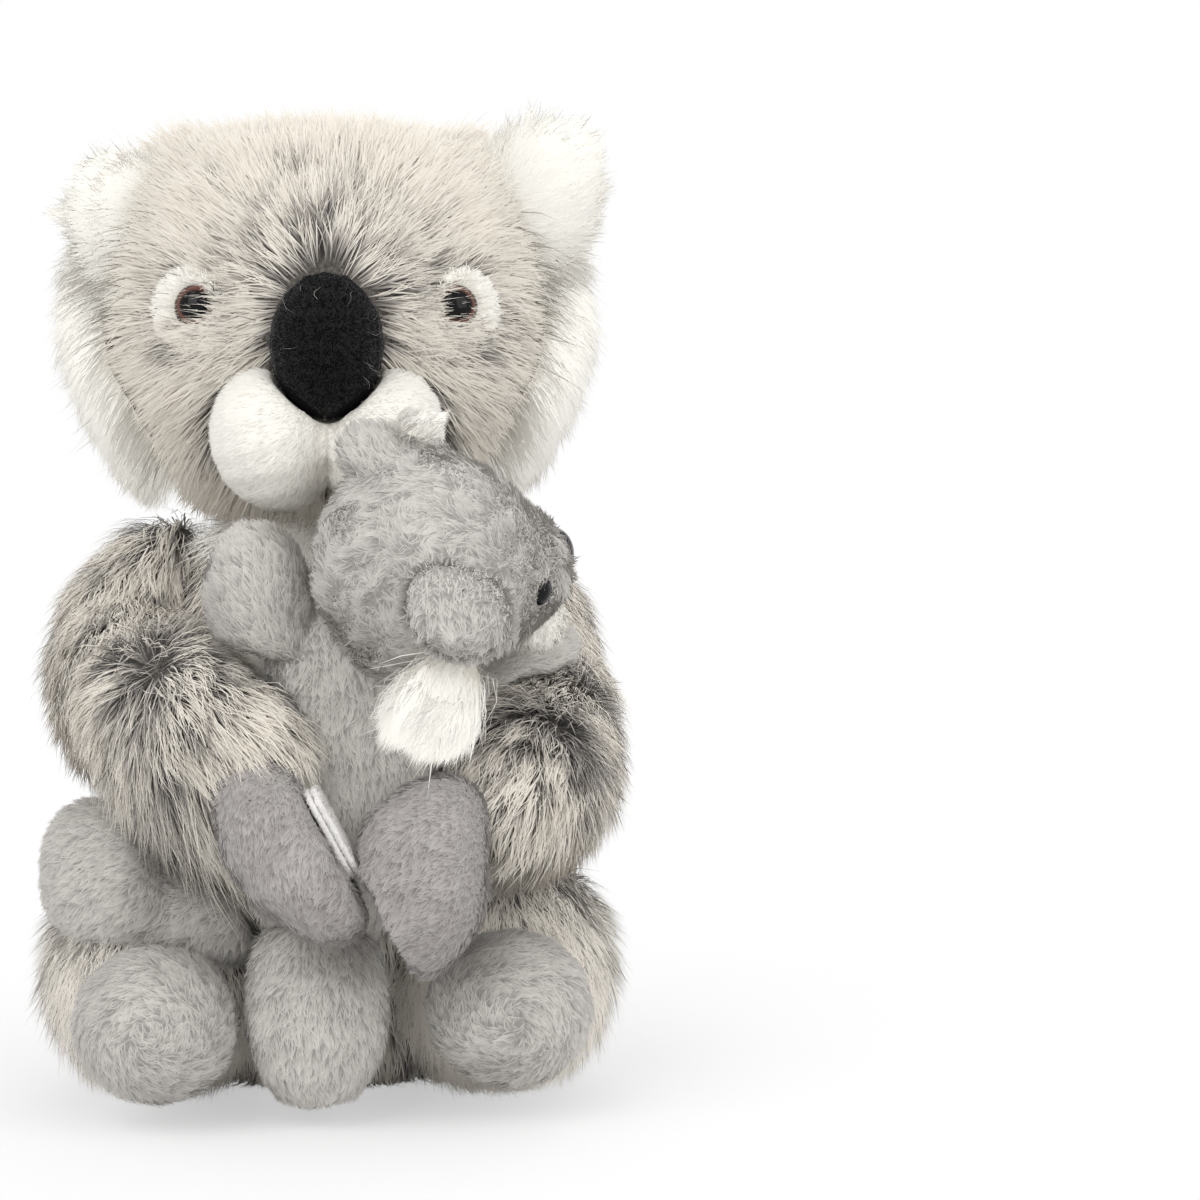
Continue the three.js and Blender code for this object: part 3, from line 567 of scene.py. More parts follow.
def blades(roots, normals, starts, ends, lengths, widths, bend, curl, steps, rng):
    """Tapered blades along root + L (t d0 + t^2/2 (d1 - d0)) + t^2 bend + L curl t (u sin at +
    v cos bt), flat side out. Gives the points of each blade as one row, one blade's triangles and
    the place t of its points."""
    along = np.linspace(0, 1, steps + 1)
    across = along[None, :, None]
    reach = lengths[:, None, None] * (across * starts[:, None] + across**2 / 2 * (ends - starts)[:, None])
    path = roots[:, None] + reach + across**2 * bend[:, None]
    if curl:
        shape = (2, len(roots), 1)
        turn = rng.uniform(*CURL_TURNS, shape) * math.pi * along + rng.uniform(0, 6, shape)
        first = unit(np.cross(normals, starts))[:, None] * np.sin(turn[0])[:, :, None]
        second = unit(np.cross(starts, np.cross(normals, starts)))[:, None] * np.cos(turn[1])[:, :, None]
        path = path + curl * lengths[:, None, None] * across * (first + second)
    way = unit(np.gradient(path, axis=1))
    rolled = normals + rng.normal(size=normals.shape) * BLADE_ROLL
    side = unit(np.cross(way, rolled[:, None]))
    taper = 0.8 + 0.5 * along - 1.3 * along**3
    spread = side * (widths[:, None] * taper / 2)[:, :, None]
    pairs = np.stack([path - spread, path + spread], 2)[:, :-1].reshape(len(roots), 2 * steps, 3)
    points = np.concatenate([pairs, path[:, -1:]], 1)
    quads = np.arange(steps - 1)[:, None] * 2
    lower, upper = quads + np.array([[0, 1, 3]]), quads + np.array([[0, 3, 2]])
    tip = np.array([[2 * steps - 2, 2 * steps - 1, 2 * steps]])
    places = np.concatenate([np.repeat(along[:-1], 2), along[-1:]])
    return points, np.concatenate([lower, upper, tip]), places


def add_pile_map(piece, triangles, shade, along):
    """A map with a lock's shade across and its place along, a hair wide so that no face is empty."""
    layer = piece.data.uv_layers.new(name="OFBake")
    across = np.clip(shade, 0.01, 0.99)[triangles] + np.array([-0.004, 0.004, 0.0])
    place = along[triangles] * 0.98 + 0.01
    layer.data.foreach_set("uv", np.stack([across, place], 2).astype(np.float32).ravel())


def grow(name, skin, body, slot, material, flow, *, length, width, density, lean=(35, 72), steps=3,
         weight=None, shade=0.5, tone=0.12, lock=3.5 * MM, pull=0.5, droop=0.12, frizz=0.12,
         curl=0.0, stir=0.0, near=(-1, 0), crowd=0.55, parts=1, seed=1):
    """Grows pile on a skin. Each lock leaves the skin at lean[0] degrees from its normal and ends
    at lean[1], turned along the flow. It is shorter where a neighbour leaves little room, with
    painted shade darkening it there, and grows more rarely between the two distances of near."""
    rng = np.random.default_rng(seed)
    weights = rise(*near, skin.room) * skin.clear
    if weight is not None:
        weights = weights * weight(skin.points)
    wanted = (skin.areas() * weights[skin.triangles].mean(1)).sum()
    count = max(int(density / MM**2 * wanted), 40)
    roots, normals, room = skin.scatter(count, weights, rng)
    drift = np.stack([waves(roots, DRIFT_SIZE, seed + turn) for turn in (1000, 2000, 3000)], 1)
    flows = unit(flow(roots)) + rng.normal(size=roots.shape) * WAY_SPREAD + stir * drift
    flows = unit(flows - (flows * normals).sum(1, keepdims=True) * normals)
    leans = (np.clip(rng.normal(angle, LEAN_SPREAD, count), *LEAN_LIMITS) for angle in lean)
    first, last = (np.radians(angles)[:, None] for angles in leans)
    starts = normals * np.cos(first) + flows * np.sin(first)
    ends = unit(normals * np.cos(last) + flows * np.sin(last) - droop * UP)
    lengths = (length(roots) if callable(length) else length) * rng.uniform(*LENGTH_SPREAD, count)
    lengths = lengths * (1 - crowd * (1 - rise(0, FULL_ROOM, room)))
    tips = roots + lengths[:, None] * (starts + ends) / 2
    bend, lock_tone = pull_to_locks(roots, tips, lock, pull, rng)
    bend = bend + unit(rng.normal(size=roots.shape)) * (lengths * frizz)[:, None]
    widths = width * rng.uniform(*WIDTH_SPREAD, count)
    points, one, places = blades(roots, normals, starts, ends, lengths, widths, bend, curl, steps, rng)
    points[:, :, 2] = np.maximum(points[:, :, 2], 0.3 * MM)
    base = shade(roots) if callable(shade) else np.full(count, shade)
    # Painted shade: locks are darkened where a neighbour leaves little room, standing in for the shade
    # between parts
    base = base - 0.3 * crowd * (1 - rise(1 * MM, 9 * MM, room))
    shades = np.clip(base + (lock_tone + 0.5 * rng.normal(size=count)) * tone, 0, 1)
    # Locks are lit mostly as the skin under them is, as light passes on through the fibres
    faced = unit(normals + rng.normal(size=normals.shape) * WAY_SPREAD)
    # One lock at each end of the range keeps the full width of the map
    shades[:2] = 0, 1
    for part, chosen in enumerate(np.array_split(rng.permutation(count), parts), 1):
        first_point = np.arange(len(chosen))[:, None, None] * points.shape[1]
        triangles = (first_point + one[None]).reshape(-1, 3)
        label = name if parts == 1 else f"{name}_{part}"
        soft = np.repeat(faced[chosen], points.shape[1], axis=0)
        piece = mesh_object(label, points[chosen].reshape(-1, 3), triangles, material, body, soft)
        own_shade = np.repeat(shades[chosen], points.shape[1])
        own_along = np.tile(places, len(chosen))
        add_values(piece, "shade", own_shade)
        add_values(piece, "along", own_along)
        add_pile_map(piece, triangles, own_shade, own_along)
        # Fibres let light through, so only the backing and the first of several parts stop it
        piece.visible_shadow = piece.visible_diffuse = parts > 1 and part == 1


def long_pile(name, skin_name, body, flow, **changes):
    """The mother's long pile on one of her skins."""
    pile = bpy.context.scene.koala_long_pile
    settings = {"length": pile.length, "width": pile.width, "density": pile.density, **changes}
    grow(name, SKINS[skin_name], body, "plush_grey", frosted_pile(), flow, **settings)


def fluffy_pile(name, skin_name, body, flow, **changes):
    """The long white pile on one of the skins."""
    pile = bpy.context.scene.koala_white_pile
    settings = {
        "length": pile.length, "width": 0.36 * MM, "density": 2.2, "lean": (28, 66), "shade": 0.9,
    }
    grow(name, SKINS[skin_name], body, "plush_white", white_pile(), flow, **{**settings, **changes})


def short_pile(name, skin_name, body, slot, material, flow, **changes):
    """The short pile on one of the skins."""
    pile = bpy.context.scene.koala_short_pile
    settings = {
        "length": pile.length, "width": pile.width, "density": pile.density, "lean": (56, 78),
        "steps": 2, "lock": 2.4 * MM, "pull": 0.8, "droop": 0.05, "tone": 0.14, "stir": 0.35,
    }
    grow(name, SKINS[skin_name], body, slot, material, flow, **{**settings, **changes})


# Landmarks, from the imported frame


def centre_of(node):
    """The middle of a node's box."""
    low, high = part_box(node)
    return np.array((low + high) / 2)


def turned_axes(node, rough):
    """The seat, axis, half widths and height of a turned dome on a stem: the axis is the main
    direction of its points that lies closest to a rough one, and the seat is where it is widest."""
    points, _ = arrays_of(NODES[node].data)
    middle = points.mean(0)
    _, ways = np.linalg.eigh(np.cov((points - middle).T))
    nearest = np.abs(ways.T @ rough).argmax()
    axis = ways[:, nearest] * np.sign(ways[:, nearest] @ rough)
    along = (points - middle) @ axis
    sides = [ways[:, k] for k in range(3) if k != nearest]
    out = np.linalg.norm(points - middle - along[:, None] * axis, axis=1)
    rim = along[out > 0.97 * out.max()].max()
    halves = [np.abs((points - middle) @ side).max() for side in sides]
    return middle + rim * axis, axis, sides, halves, along.max() - rim


HEAD = centre_of("head_skin")
NOSE = centre_of("nose") + mm(0, -6, 2)
EYES = {side: centre_of(f"eye_{side}") + mm(sign, -3, 0) for side, sign in SIDES.items()}
BABY_HEAD = centre_of("baby_head")
BABY_NOSE = centre_of("baby_nose")
BABY_FACE = unit(BABY_NOSE - BABY_HEAD)

# The lines that the arms follow from shoulder to hand, and where their pile parts
ARM_LINES = {
    "right": [(-46, 8, 152), (-54, 3, 134), (-55, -16, 115), (-46, -48, 109), (-28, -74, 103), (-8, -90, 94)],
    "left": [(46, 8, 152), (53, 3, 133), (55, -14, 109), (56, -45, 94), (51, -74, 86), (40, -95, 79)],
}
WHORLS = {
    "right": [(-45, -68, 119), (-38, -71, 98)],
    "left": [(57, -68, 98), (66, -40, 102)],
}
HAUNCHES = {side: mm(sign * 70, -20, 62) for side, sign in SIDES.items()}


# Flows: which way the pile lies


def downwards(points):
    """Down, and a little away from the toy's middle."""
    out = unit(points * np.array([1, 1, 0]))
    return 0.25 * out - UP


def away_from(middle, bias=(0, 0, 0)):
    """Out from a point, with a steady bias."""
    return lambda points: unit(points - middle) + np.array(bias)


def along_line(line, ahead=1.0, bias=(0, 0, 0)):
    """Along the nearest stretch of a line from its start to its end."""
    stations = np.array(line) * MM
    share = np.linspace(0, len(stations) - 1, 40)
    fine = np.stack([np.interp(share, np.arange(len(stations)), stations[:, k]) for k in range(3)], 1)
    ways = unit(np.gradient(fine, axis=0))

    def flow(points):
        nearest = ((points[:, None] - fine[None]) ** 2).sum(2).argmin(1)
        return ahead * ways[nearest] + np.array(bias)

    return flow


def parted_flow(steady, whorls, reach):
    """A steady flow that turns to run out of each whorl within its reach."""

    def flow(points):
        total = steady(points)
        for whorl in whorls:
            total = total + unit(points - whorl) * (3.0 * hump(points, whorl, reach))[:, None]
        return total

    return flow


def parted_shade(seed, level, whorls=(), reach=1.0, depth=0.55):
    """Mid-toned pile with drifting streaks, dark where it parts at a whorl."""

    def shade(points):
        value = level + 0.16 * waves(points, 22 * MM, seed) + 0.1 * waves(points, 8 * MM, seed + 1)
        for whorl in whorls:
            near = hump(points, whorl, reach)
            rays = waves(unit(points - whorl) * 3 * reach, reach, seed)
            value = value - depth * near + 0.16 * np.sqrt(near) * rays
        return value

    return shade


def head_flow(points):
    """Out from the bridge of the nose, round the eyes, and down over the cheeks."""
    flow = unit(points - NOSE - mm(0, 6, 8))
    flow = flow - UP * (0.35 * rise(0, 30 * MM, NOSE[2] - points[:, 2]))[:, None]
    for side, eye in EYES.items():
        turned = 1.6 * hump(points, eye, 11 * MM) * beyond_eye(points, side)
        flow = flow + unit(points - eye) * turned[:, None]
    return flow


def beyond_eye(points, side):
    """1 on the outer and upper side of an eye, and 0 on the side towards the nose."""
    out = unit(np.array([SIDES[side], 0.5, 1.1]))
    return rise(-1.5 * MM, 3 * MM, (points - EYES[side]) @ out)


def head_length(points):
    """Short round the nose and beyond the eyes, full on the crown and the cheeks, and longest
    where the crown meets the ears."""
    length = bpy.context.scene.koala_long_pile.head_length * (1 - 0.4 * hump(points, NOSE, 26 * MM))
    for side, sign in SIDES.items():
        length = length * (1 - 0.5 * hump(points, EYES[side], 12 * MM) * beyond_eye(points, side))
        length = length + 7 * MM * hump(points, mm(sign * 40, 2, 248), 20 * MM)
    return length


# Darker spots on the head: the place, its reach in millimetres and how much darker it is
HEAD_SPOTS = [(NOSE + mm(0, 6, 26), 26, 0.62), (mm(50, -36, 196), 20, 0.4)]
for side, sign in SIDES.items():
    HEAD_SPOTS += [
        (EYES[side] + mm(sign * 2, 2, -8), 8, 0.8),
        (EYES[side] + mm(-sign * 12, 0, 2), 12, 0.36),
        (EYES[side] + mm(sign * 4, 0, 13), 7, 0.3),
        (mm(sign * 30, -44, 176), 12, 0.3),
    ]


def head_shade(points):
    """Pale, with streaks that run out from the nose, darkest above it and round the eyes."""
    ways = unit(points - NOSE) * 40 * MM
    near = 0.3 + hump(points, NOSE + mm(0, 6, 22), 30 * MM)
    value = 1.07 + 0.05 * waves(points, 18 * MM, 3) + 0.16 * near * waves(ways, 6 * MM, 4)
    value = value + 0.3 * rise(21 * MM, 17 * MM, np.linalg.norm((points - NOSE)[:, [0, 2]], axis=1))
    for place, reach, depth in HEAD_SPOTS:
        value = value - depth * hump(points, place, reach * MM)
    return value


def beside_head(points):
    """1 at the sides of the head, where the ears and the ruffs leave it."""
    sides = (hump(points, mm(sign * 54, -2, 222), 15 * MM) for sign in SIDES.values())
    return np.minimum(sum(sides) * 1.3, 1)


def full_crown(points):
    """The head, filled out where the flat crown meets the ears."""
    return pulled(points, (43, 0, 246), (2, 0, 11))


def clear_of_eyes(points):
    """0 within 5 mm of an eye's middle and 1 beyond 6.5 mm, and 0 at the sides of the head."""
    clear = 1 - beside_head(points)
    for eye in EYES.values():
        clear = clear * rise(5 * MM, 6.5 * MM, np.linalg.norm(points - eye, axis=1))
    return clear


# The mother


class KOALA_OT_body(bpy.types.Operator):
    """The torso's stuffed skin and long pile, with its filling, pellet pouch and seat panel"""

    bl_idname = "koala.body"
    bl_label = "Body"

    def execute(self, context):
        filling = knit_material("polyester_fibre_filling", "#d5d5d3", "#f1f1ef", 2.5)
        pouch = knit_material("woven_cotton_pouch", "#b3ac9d", "#d2ccbf", 0.8)
        closing = ["body_stuffing", "pellet_pouch"]
        covers = ["belly_panel", "seat_panel"]
        skin_piece("body", "body_skin", MOTHER, grey_knit(), closing, covers, voxel=3 * MM, inset=3 * MM)
        skin_piece(
            "body_filling", "body_stuffing", MOTHER, filling, ["pellet_pouch"], voxel=3 * MM, inset=6 * MM
        )
        skin_piece("pouch", "pellet_pouch", MOTHER, pouch, voxel=2 * MM, fill=0.6, inset=4 * MM)
        skin_piece("seat", "seat_panel", MOTHER, grey_knit(), voxel=1.2 * MM, rounds=3, fill=0.2)
        long_pile(
            "body_pile", "body", MOTHER, downwards, lean=(50, 80), parts=2, seed=11, steps=2,
            density=context.scene.koala_long_pile.density * 0.5, width=0.52 * MM,
            shade=parted_shade(12, 0.58, mm((66, 10, 140), (-66, 10, 140)), 16 * MM, 0.35),
        )
        return {"FINISHED"}


class KOALA_OT_head(bpy.types.Operator):
    """The head's stuffed skin, with frosted pile that runs out from the bridge of the nose"""

    bl_idname = "koala.head"
    bl_label = "Head"

    def execute(self, context):
        filling = bpy.data.materials["polyester_fibre_filling"]
        skin_piece(
            "head", "head_skin", MOTHER, grey_knit(), ["head_stuffing"], ["muzzle", "nose"],
            voxel=2.5 * MM, rounds=16, inset=2 * MM, shape=full_crown,
        )
        skin_piece("head_filling", "head_stuffing", MOTHER, filling, voxel=3 * MM, inset=3 * MM)
        long_pile(
            "head_pile", "head", MOTHER, head_flow, length=head_length, shade=head_shade,
            lean=(52, 80), weight=clear_of_eyes, density=2.0, lock=5 * MM, pull=0.5, parts=2, seed=21,
            near=(0.2 * MM, 1 * MM), crowd=0.1, width=0.36 * MM, stir=0.2, tone=0.17,
        )
        for washer in ("eye_washer_left", "eye_washer_right"):
            NODES[washer].data.materials.clear()
            NODES[washer].data.materials.append(moulded_material())
        return {"FINISHED"}


class KOALA_OT_muzzle(bpy.types.Operator):
    """The muzzle: two lobes of short white pile, parted by the seam below the nose"""

    bl_idname = "koala.muzzle"
    bl_label = "Muzzle"

    def execute(self, context):
        pile = context.scene.koala_white_pile
        skin = skin_piece(
            "muzzle_skin", "muzzle", MOTHER, white_knit(), covers=["head_skin", "nose"], voxel=1.4 * MM,
            rounds=10, inset=1 * MM,
        )
        grow(
            "muzzle_pile", skin, MOTHER, "plush_white", white_pile(), self.flow,
            length=pile.muzzle_length, width=0.34 * MM, density=4.5, lean=(48, 72), steps=2, lock=2 * MM,
            pull=0.2, tone=0.05, droop=0, crowd=0.4, weight=self.clear_of_seam, shade=self.shade, seed=31,
        )
        return {"FINISHED"}

    @staticmethod
    def flow(points):
        """Out from the seam, and down."""
        return np.sign(points[:, :1]) * np.array([[1.0, 0, 0]]) + unit(points - NOSE) * 0.8

    @staticmethod
    def clear_of_seam(points):
        """0 on the seam and 1 beyond 0.9 mm of it."""
        return rise(0.1 * MM, 0.9 * MM, np.abs(points[:, 0]))

    @staticmethod
    def shade(points):
        """White, a little creamier and darker along the seam, as painted shade in its groove."""
        return 1 - 0.5 * np.exp(-((points[:, 0] / (2 * MM)) ** 2))


class KOALA_OT_nose(bpy.types.Operator):
    """The nose: a tall pad of black felt, with a short nap and a few stray pale fibres"""

    bl_idname = "koala.nose"
    bl_label = "Nose"

    def execute(self, context):
        skin = skin_piece("nose_pad", "nose", MOTHER, felt_material(), voxel=0.9 * MM, rounds=14, fill=0.9)
        nap = pile_material("felt_nap", [(0.0, "#040405"), (1.0, "#131315")], 0.6)
        grow(
            "nose_nap", skin, MOTHER, "black_felt", nap, away_from(NOSE), length=0.7 * MM,
            width=0.12 * MM, density=6, lean=(55, 84), steps=2, frizz=0.5, tone=0.1,
            near=(0.4 * MM, 2 * MM), seed=41,
        )
        grow(
            "nose_strays", skin, MOTHER, "plush_grey", frosted_pile(), away_from(NOSE), length=6 * MM,
            width=0.055 * MM, density=0.016, lean=(82, 86), steps=12, frizz=0.2, curl=0.16, pull=0, shade=0.7,
            seed=42,
        )
        return {"FINISHED"}


def dome_piece(name, node, rough, body, material, look=None, sink=0.0):
    """A glossy dome, sunk a little in the pile: out = half width x cos(a), up = height x sin(a),
    round its seat, closed behind by a short rim. The ring attribute is the distance in radii from
    the point that the eye looks through."""
    seat, axis, sides, halves, height = turned_axes(node, rough)
    seat = seat - sink * axis
    angle = np.linspace(0, math.pi / 2, 13)[:, None, None]
    turn = np.linspace(0, 2 * math.pi, 40, endpoint=False)[None, :, None]
    across = np.cos(turn) * sides[0] * halves[0] + np.sin(turn) * sides[1] * halves[1]
    dome = seat + np.cos(angle) * across + height * np.sin(angle) * axis
    rim = seat + 0.9 * across - 0.8 * MM * axis
    back = seat - 0.8 * MM * axis
    rows = np.concatenate([rim, dome[:-1]]).reshape(-1, 3)
    points = np.concatenate([rows, [dome[-1, 0], back]])
    count = turn.size
    row, column = np.meshgrid(np.arange(len(angle) - 1), np.arange(count), indexing="ij")
    corner = (row * count + column).ravel()
    beside = (row * count + (column + 1) % count).ravel()
    first, last = np.arange(count), np.arange(count) + len(rows) - count
    around = (first + 1) % count
    triangles = np.concatenate(
        [
            np.stack([corner, beside, beside + count], 1),
            np.stack([corner, beside + count, corner + count], 1),
            np.stack([last, around + len(rows) - count, np.full(count, len(rows))], 1),
            np.stack([around, first, np.full(count, len(rows) + 1)], 1),
        ]
    )
    if np.dot(np.cross(sides[0], sides[1]), axis) < 0:
        triangles = triangles[:, ::-1]
    piece = mesh_object(name, points, triangles, material, body)
    flat = points - seat - ((points - seat) @ axis)[:, None] * axis
    offset = np.zeros(3) if look is None else np.array(look) * MM
    add_values(piece, "ring", np.linalg.norm(flat - offset, axis=1) / max(halves))
    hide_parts(node)
    return piece


class KOALA_OT_eyes(bpy.types.Operator):
    """The safety eyes, brown round a black pupil, each on its patch of short white pile"""

    bl_idname = "koala.eyes"
    bl_label = "Eyes"

    def execute(self, context):
        stops = [(0.0, "#030303"), (0.66, "#040303"), (0.71, "#4c2f26"), (0.86, "#70473a"), (0.98, "#1d120e")]
        brown = gloss_material("painted_acrylic_eye", stops)
        for side, sign in SIDES.items():
            rough = unit(np.array([sign * 0.5, -1, 0.1]))
            dome_piece(f"eye_dome_{side}", f"eye_{side}", rough, MOTHER, brown, (-sign * 2.6, 0, 0.2))
            name = f"eye_patch_skin_{side}"
            skin = skin_piece(
                name, f"eye_patch_{side}", MOTHER, white_knit(), voxel=0.7 * MM, rounds=4, fill=0.2
            )
            grow(
                f"eye_patch_pile_{side}", skin, MOTHER, "plush_white", white_pile(), away_from(EYES[side]),
                length=3.2 * MM, width=0.36 * MM, density=4, lean=(25, 60), steps=2, tone=0.1,
                shade=0.7, near=(0.1 * MM, 0.6 * MM), weight=lambda points: beyond_eye(points, side), seed=51,
            )
            grow(
                f"eye_fringe_{side}", skin, MOTHER, "plush_grey", frosted_pile(),
                towards(sign * 1.0, 0.0, 0.25), length=8 * MM, width=0.3 * MM, density=4,
                lean=(28, 72), tone=0.2, shade=0.65,
                near=(0.1 * MM, 0.6 * MM), weight=lambda points: 1 - beyond_eye(points, side), seed=52,
            )
            tuft = EYES[side] + mm(-sign * 8.5, 1, -4)
            grow(
                f"eye_lash_{side}", SKINS["head"], MOTHER, "plush_grey", frosted_pile(),
                towards(sign * 1.0, 0.0, 0.15), length=13.5 * MM, width=0.26 * MM, density=6,
                lean=(23, 76), tone=0.2, shade=0.75, lock=3 * MM,
                near=(-1, 0), crowd=0, weight=lambda points: hump(points, tuft, 6.5 * MM), seed=53,
            )
        return {"FINISHED"}


class KOALA_OT_ears(bpy.types.Operator):
    """The ears, grey behind and white in front, and the white ruffs below them"""

    bl_idname = "koala.ears"
    bl_label = "Ears and ruffs"

    # Where the right ear meets the crown
    TUFT = mm(-46, 0, 256)

    def execute(self, context):
        hanging = {
            "length": 17 * MM, "crowd": 0.1, "near": (0.2 * MM, 1 * MM), "lock": 5 * MM, "pull": 0.6,
        }
        for side, sign in SIDES.items():
            back, lining, ruff = f"ear_back_{side}", f"ear_lining_{side}", f"ruff_{side}"
            root = np.array([sign * 46 * MM, 0, 234 * MM])
            depth = {"right": 6.5 * MM, "left": 5.5 * MM}[side]
            shape = {"right": moved(8, 0, -9), "left": moved(-3, 0, -1)}[side]
            skin_piece(f"{back}_skin", back, MOTHER, white_knit(), inset=depth, shape=shape)
            skin_piece(f"{lining}_skin", lining, MOTHER, white_knit(), inset=depth - 1 * MM, shape=shape)
            skin_piece(f"{ruff}_skin", ruff, MOTHER, white_knit(), inset=depth, shape=moved(0, 0, 6))
            long_pile(
                f"{back}_pile", f"{back}_skin", MOTHER, away_from(root, (0, 0.9, 0)), length=self.back_length,
                lean=(46, 76), shade=self.back_shade, weight=self.behind, seed=61,
            )
            fluffy_pile(
                f"{back}_rim", f"{back}_skin", MOTHER, away_from(root, (0, -0.3, 0)), length=13 * MM,
                lean=(46, 66), droop=0.15, crowd=0.1, pull=0.6,
                weight=lambda points: 1 - self.behind(points), seed=65,
            )
            fluffy_pile(
                f"{lining}_pile", f"{lining}_skin", MOTHER, away_from(root, (0, -0.3, -0.1)),
                lean=(46, 66), density=3.4, droop=0.15, seed=62, **hanging,
            )
            fluffy_pile(
                f"{ruff}_pile", f"{ruff}_skin", MOTHER, away_from(HEAD, (sign * 0.3, -0.1, -1.1)),
                lean=(50, 76), density=3.0, droop=0.3, seed=63, **hanging,
            )
        fluffy_pile(
            "head_side_pile", "head", MOTHER, away_from(HEAD, (0, -0.4, -0.5)), length=24 * MM, lean=(12, 50),
            density=3.0, droop=0.2, crowd=0, lock=5 * MM, pull=0.6, weight=beside_head, seed=64,
        )
        return {"FINISHED"}

    @classmethod
    def behind(cls, points):
        """1 on the upper backs of the ears and where the right ear meets the crown, and 0 on their
        rims."""
        tuft = hump(points, cls.TUFT, 10 * MM)
        upper = rise(3 * MM, 8 * MM, points[:, 1]) * rise(228 * MM, 240 * MM, points[:, 2])
        return np.maximum(upper, tuft)

    @classmethod
    def back_length(cls, points):
        """9 mm, with a longer tuft where the right ear meets the crown."""
        return 9 * MM + 12 * MM * hump(points, cls.TUFT, 11 * MM)

    @classmethod
    def back_shade(cls, points):
        """Pale at the rim, and greyer behind and where the right ear meets the crown."""
        behind = rise(1 * MM, 6 * MM, points[:, 1])
        return 1 - 0.4 * behind - 0.45 * hump(points, cls.TUFT, 12 * MM)


class KOALA_OT_chest(bpy.types.Operator):
    """The creamy-white panel down the chest and belly"""

    bl_idname = "koala.chest"
    bl_label = "Chest panel"

    def execute(self, context):
        skin_piece(
            "chest_skin", "belly_panel", MOTHER, white_knit(), covers=["body_skin"], voxel=1.8 * MM,
            rounds=8, fill=0.3,
        )
        fluffy_pile("chest_pile", "chest_skin", MOTHER, downwards, length=12 * MM, droop=0.3, seed=71)
        fluffy_pile(
            "collar_pile", "body", MOTHER, downwards, length=16 * MM, lean=(30, 66), droop=0.2, near=(-1, 0),
            crowd=0, weight=self.collar, seed=72,
        )
        return {"FINISHED"}

    @staticmethod
    def collar(points):
        """1 on the front of the neck."""
        return rise(146 * MM, 154 * MM, points[:, 2]) * rise(0, -12 * MM, points[:, 1])


class KOALA_OT_arms(bpy.types.Operator):
    """The arms, whose long pile parts at dark whorls, and the mauve hands with their palm tapes"""

    bl_idname = "koala.arms"
    bl_label = "Arms and hands"

    def execute(self, context):
        for side in SIDES:
            body = f"arm_{side}"
            whorls = np.array(WHORLS[side]) * MM
            skin_piece(
                f"{body}_skin", f"arm_{side}", body, grey_knit(), inset=4 * MM, shape=self.full_shoulder
            )
            flow = self.hanging(parted_flow(along_line(ARM_LINES[side], 0.8, (0, 0, -0.4)), whorls, 17 * MM))
            long_pile(
                f"{body}_pile", f"{body}_skin", body, flow, lean=(46, 76), parts=2, seed=81,
                length=self.length, lock=5 * MM, pull=0.65, droop=0.5, crowd=0.45, stir=0.3, tone=0.26,
                shade=parted_shade(82, 0.75, whorls, 13 * MM, 0.6),
            )
            patch = f"palm_patch_{side}"
            skin_piece(
                f"hand_{side}_skin", f"hand_{side}", body, velour_knit(), covers=[patch], inset=0.5 * MM
            )
            hand_flow = along_line(ARM_LINES[side][3:] + [tuple(centre_of(f"hand_{side}") / MM)])
            short_pile(
                f"hand_{side}_pile", f"hand_{side}_skin", body, "velvet_mauve", mauve_velour(), hand_flow,
                shade=parted_shade(84, 0.5), seed=83,
            )
            tape = skin_piece(
                f"{patch}_tape", patch, body, tape_material(), voxel=0.7 * MM, rounds=3, fill=0.1
            )
            grow(
                f"{patch}_loops", tape, body, SLOTS[patch], tape_loops(), downwards, length=1.8 * MM,
                width=0.22 * MM, density=7, lean=(20, 80), steps=2, curl=0.2, near=(-1, 0), seed=85,
            )
        return {"FINISHED"}

    # Where the arms' pile is longer: the place, its reach and the extra length, in millimetres
    TUFTS = (
        ((-38, -78, 84), 17, 34),
        ((-24, -86, 106), 13, 9),
        ((-34, -10, 156), 13, 10),
        ((34, -10, 156), 13, 10),
        ((52, -66, 116), 10, 6),
    )

    @staticmethod
    def full_shoulder(points):
        """The arms, raised and drawn in at the shoulders to meet the ruffs and the neck."""
        return pulled(points, (40, -2, 150), (-9, -6, 9))

    @staticmethod
    def hanging(steady):
        """A steady flow that turns down under the right forearm."""

        def flow(points):
            under = hump(points, mm(-40, -76, 87), 17 * MM)
            return steady(points) - UP * (2.5 * under)[:, None]

        return flow

    @classmethod
    def length(cls, points):
        """17 mm, and more at the tufts."""
        total = 17 * MM
        for place, reach, extra in cls.TUFTS:
            total = total + extra * MM * hump(points, mm(*place), reach * MM)
        return total


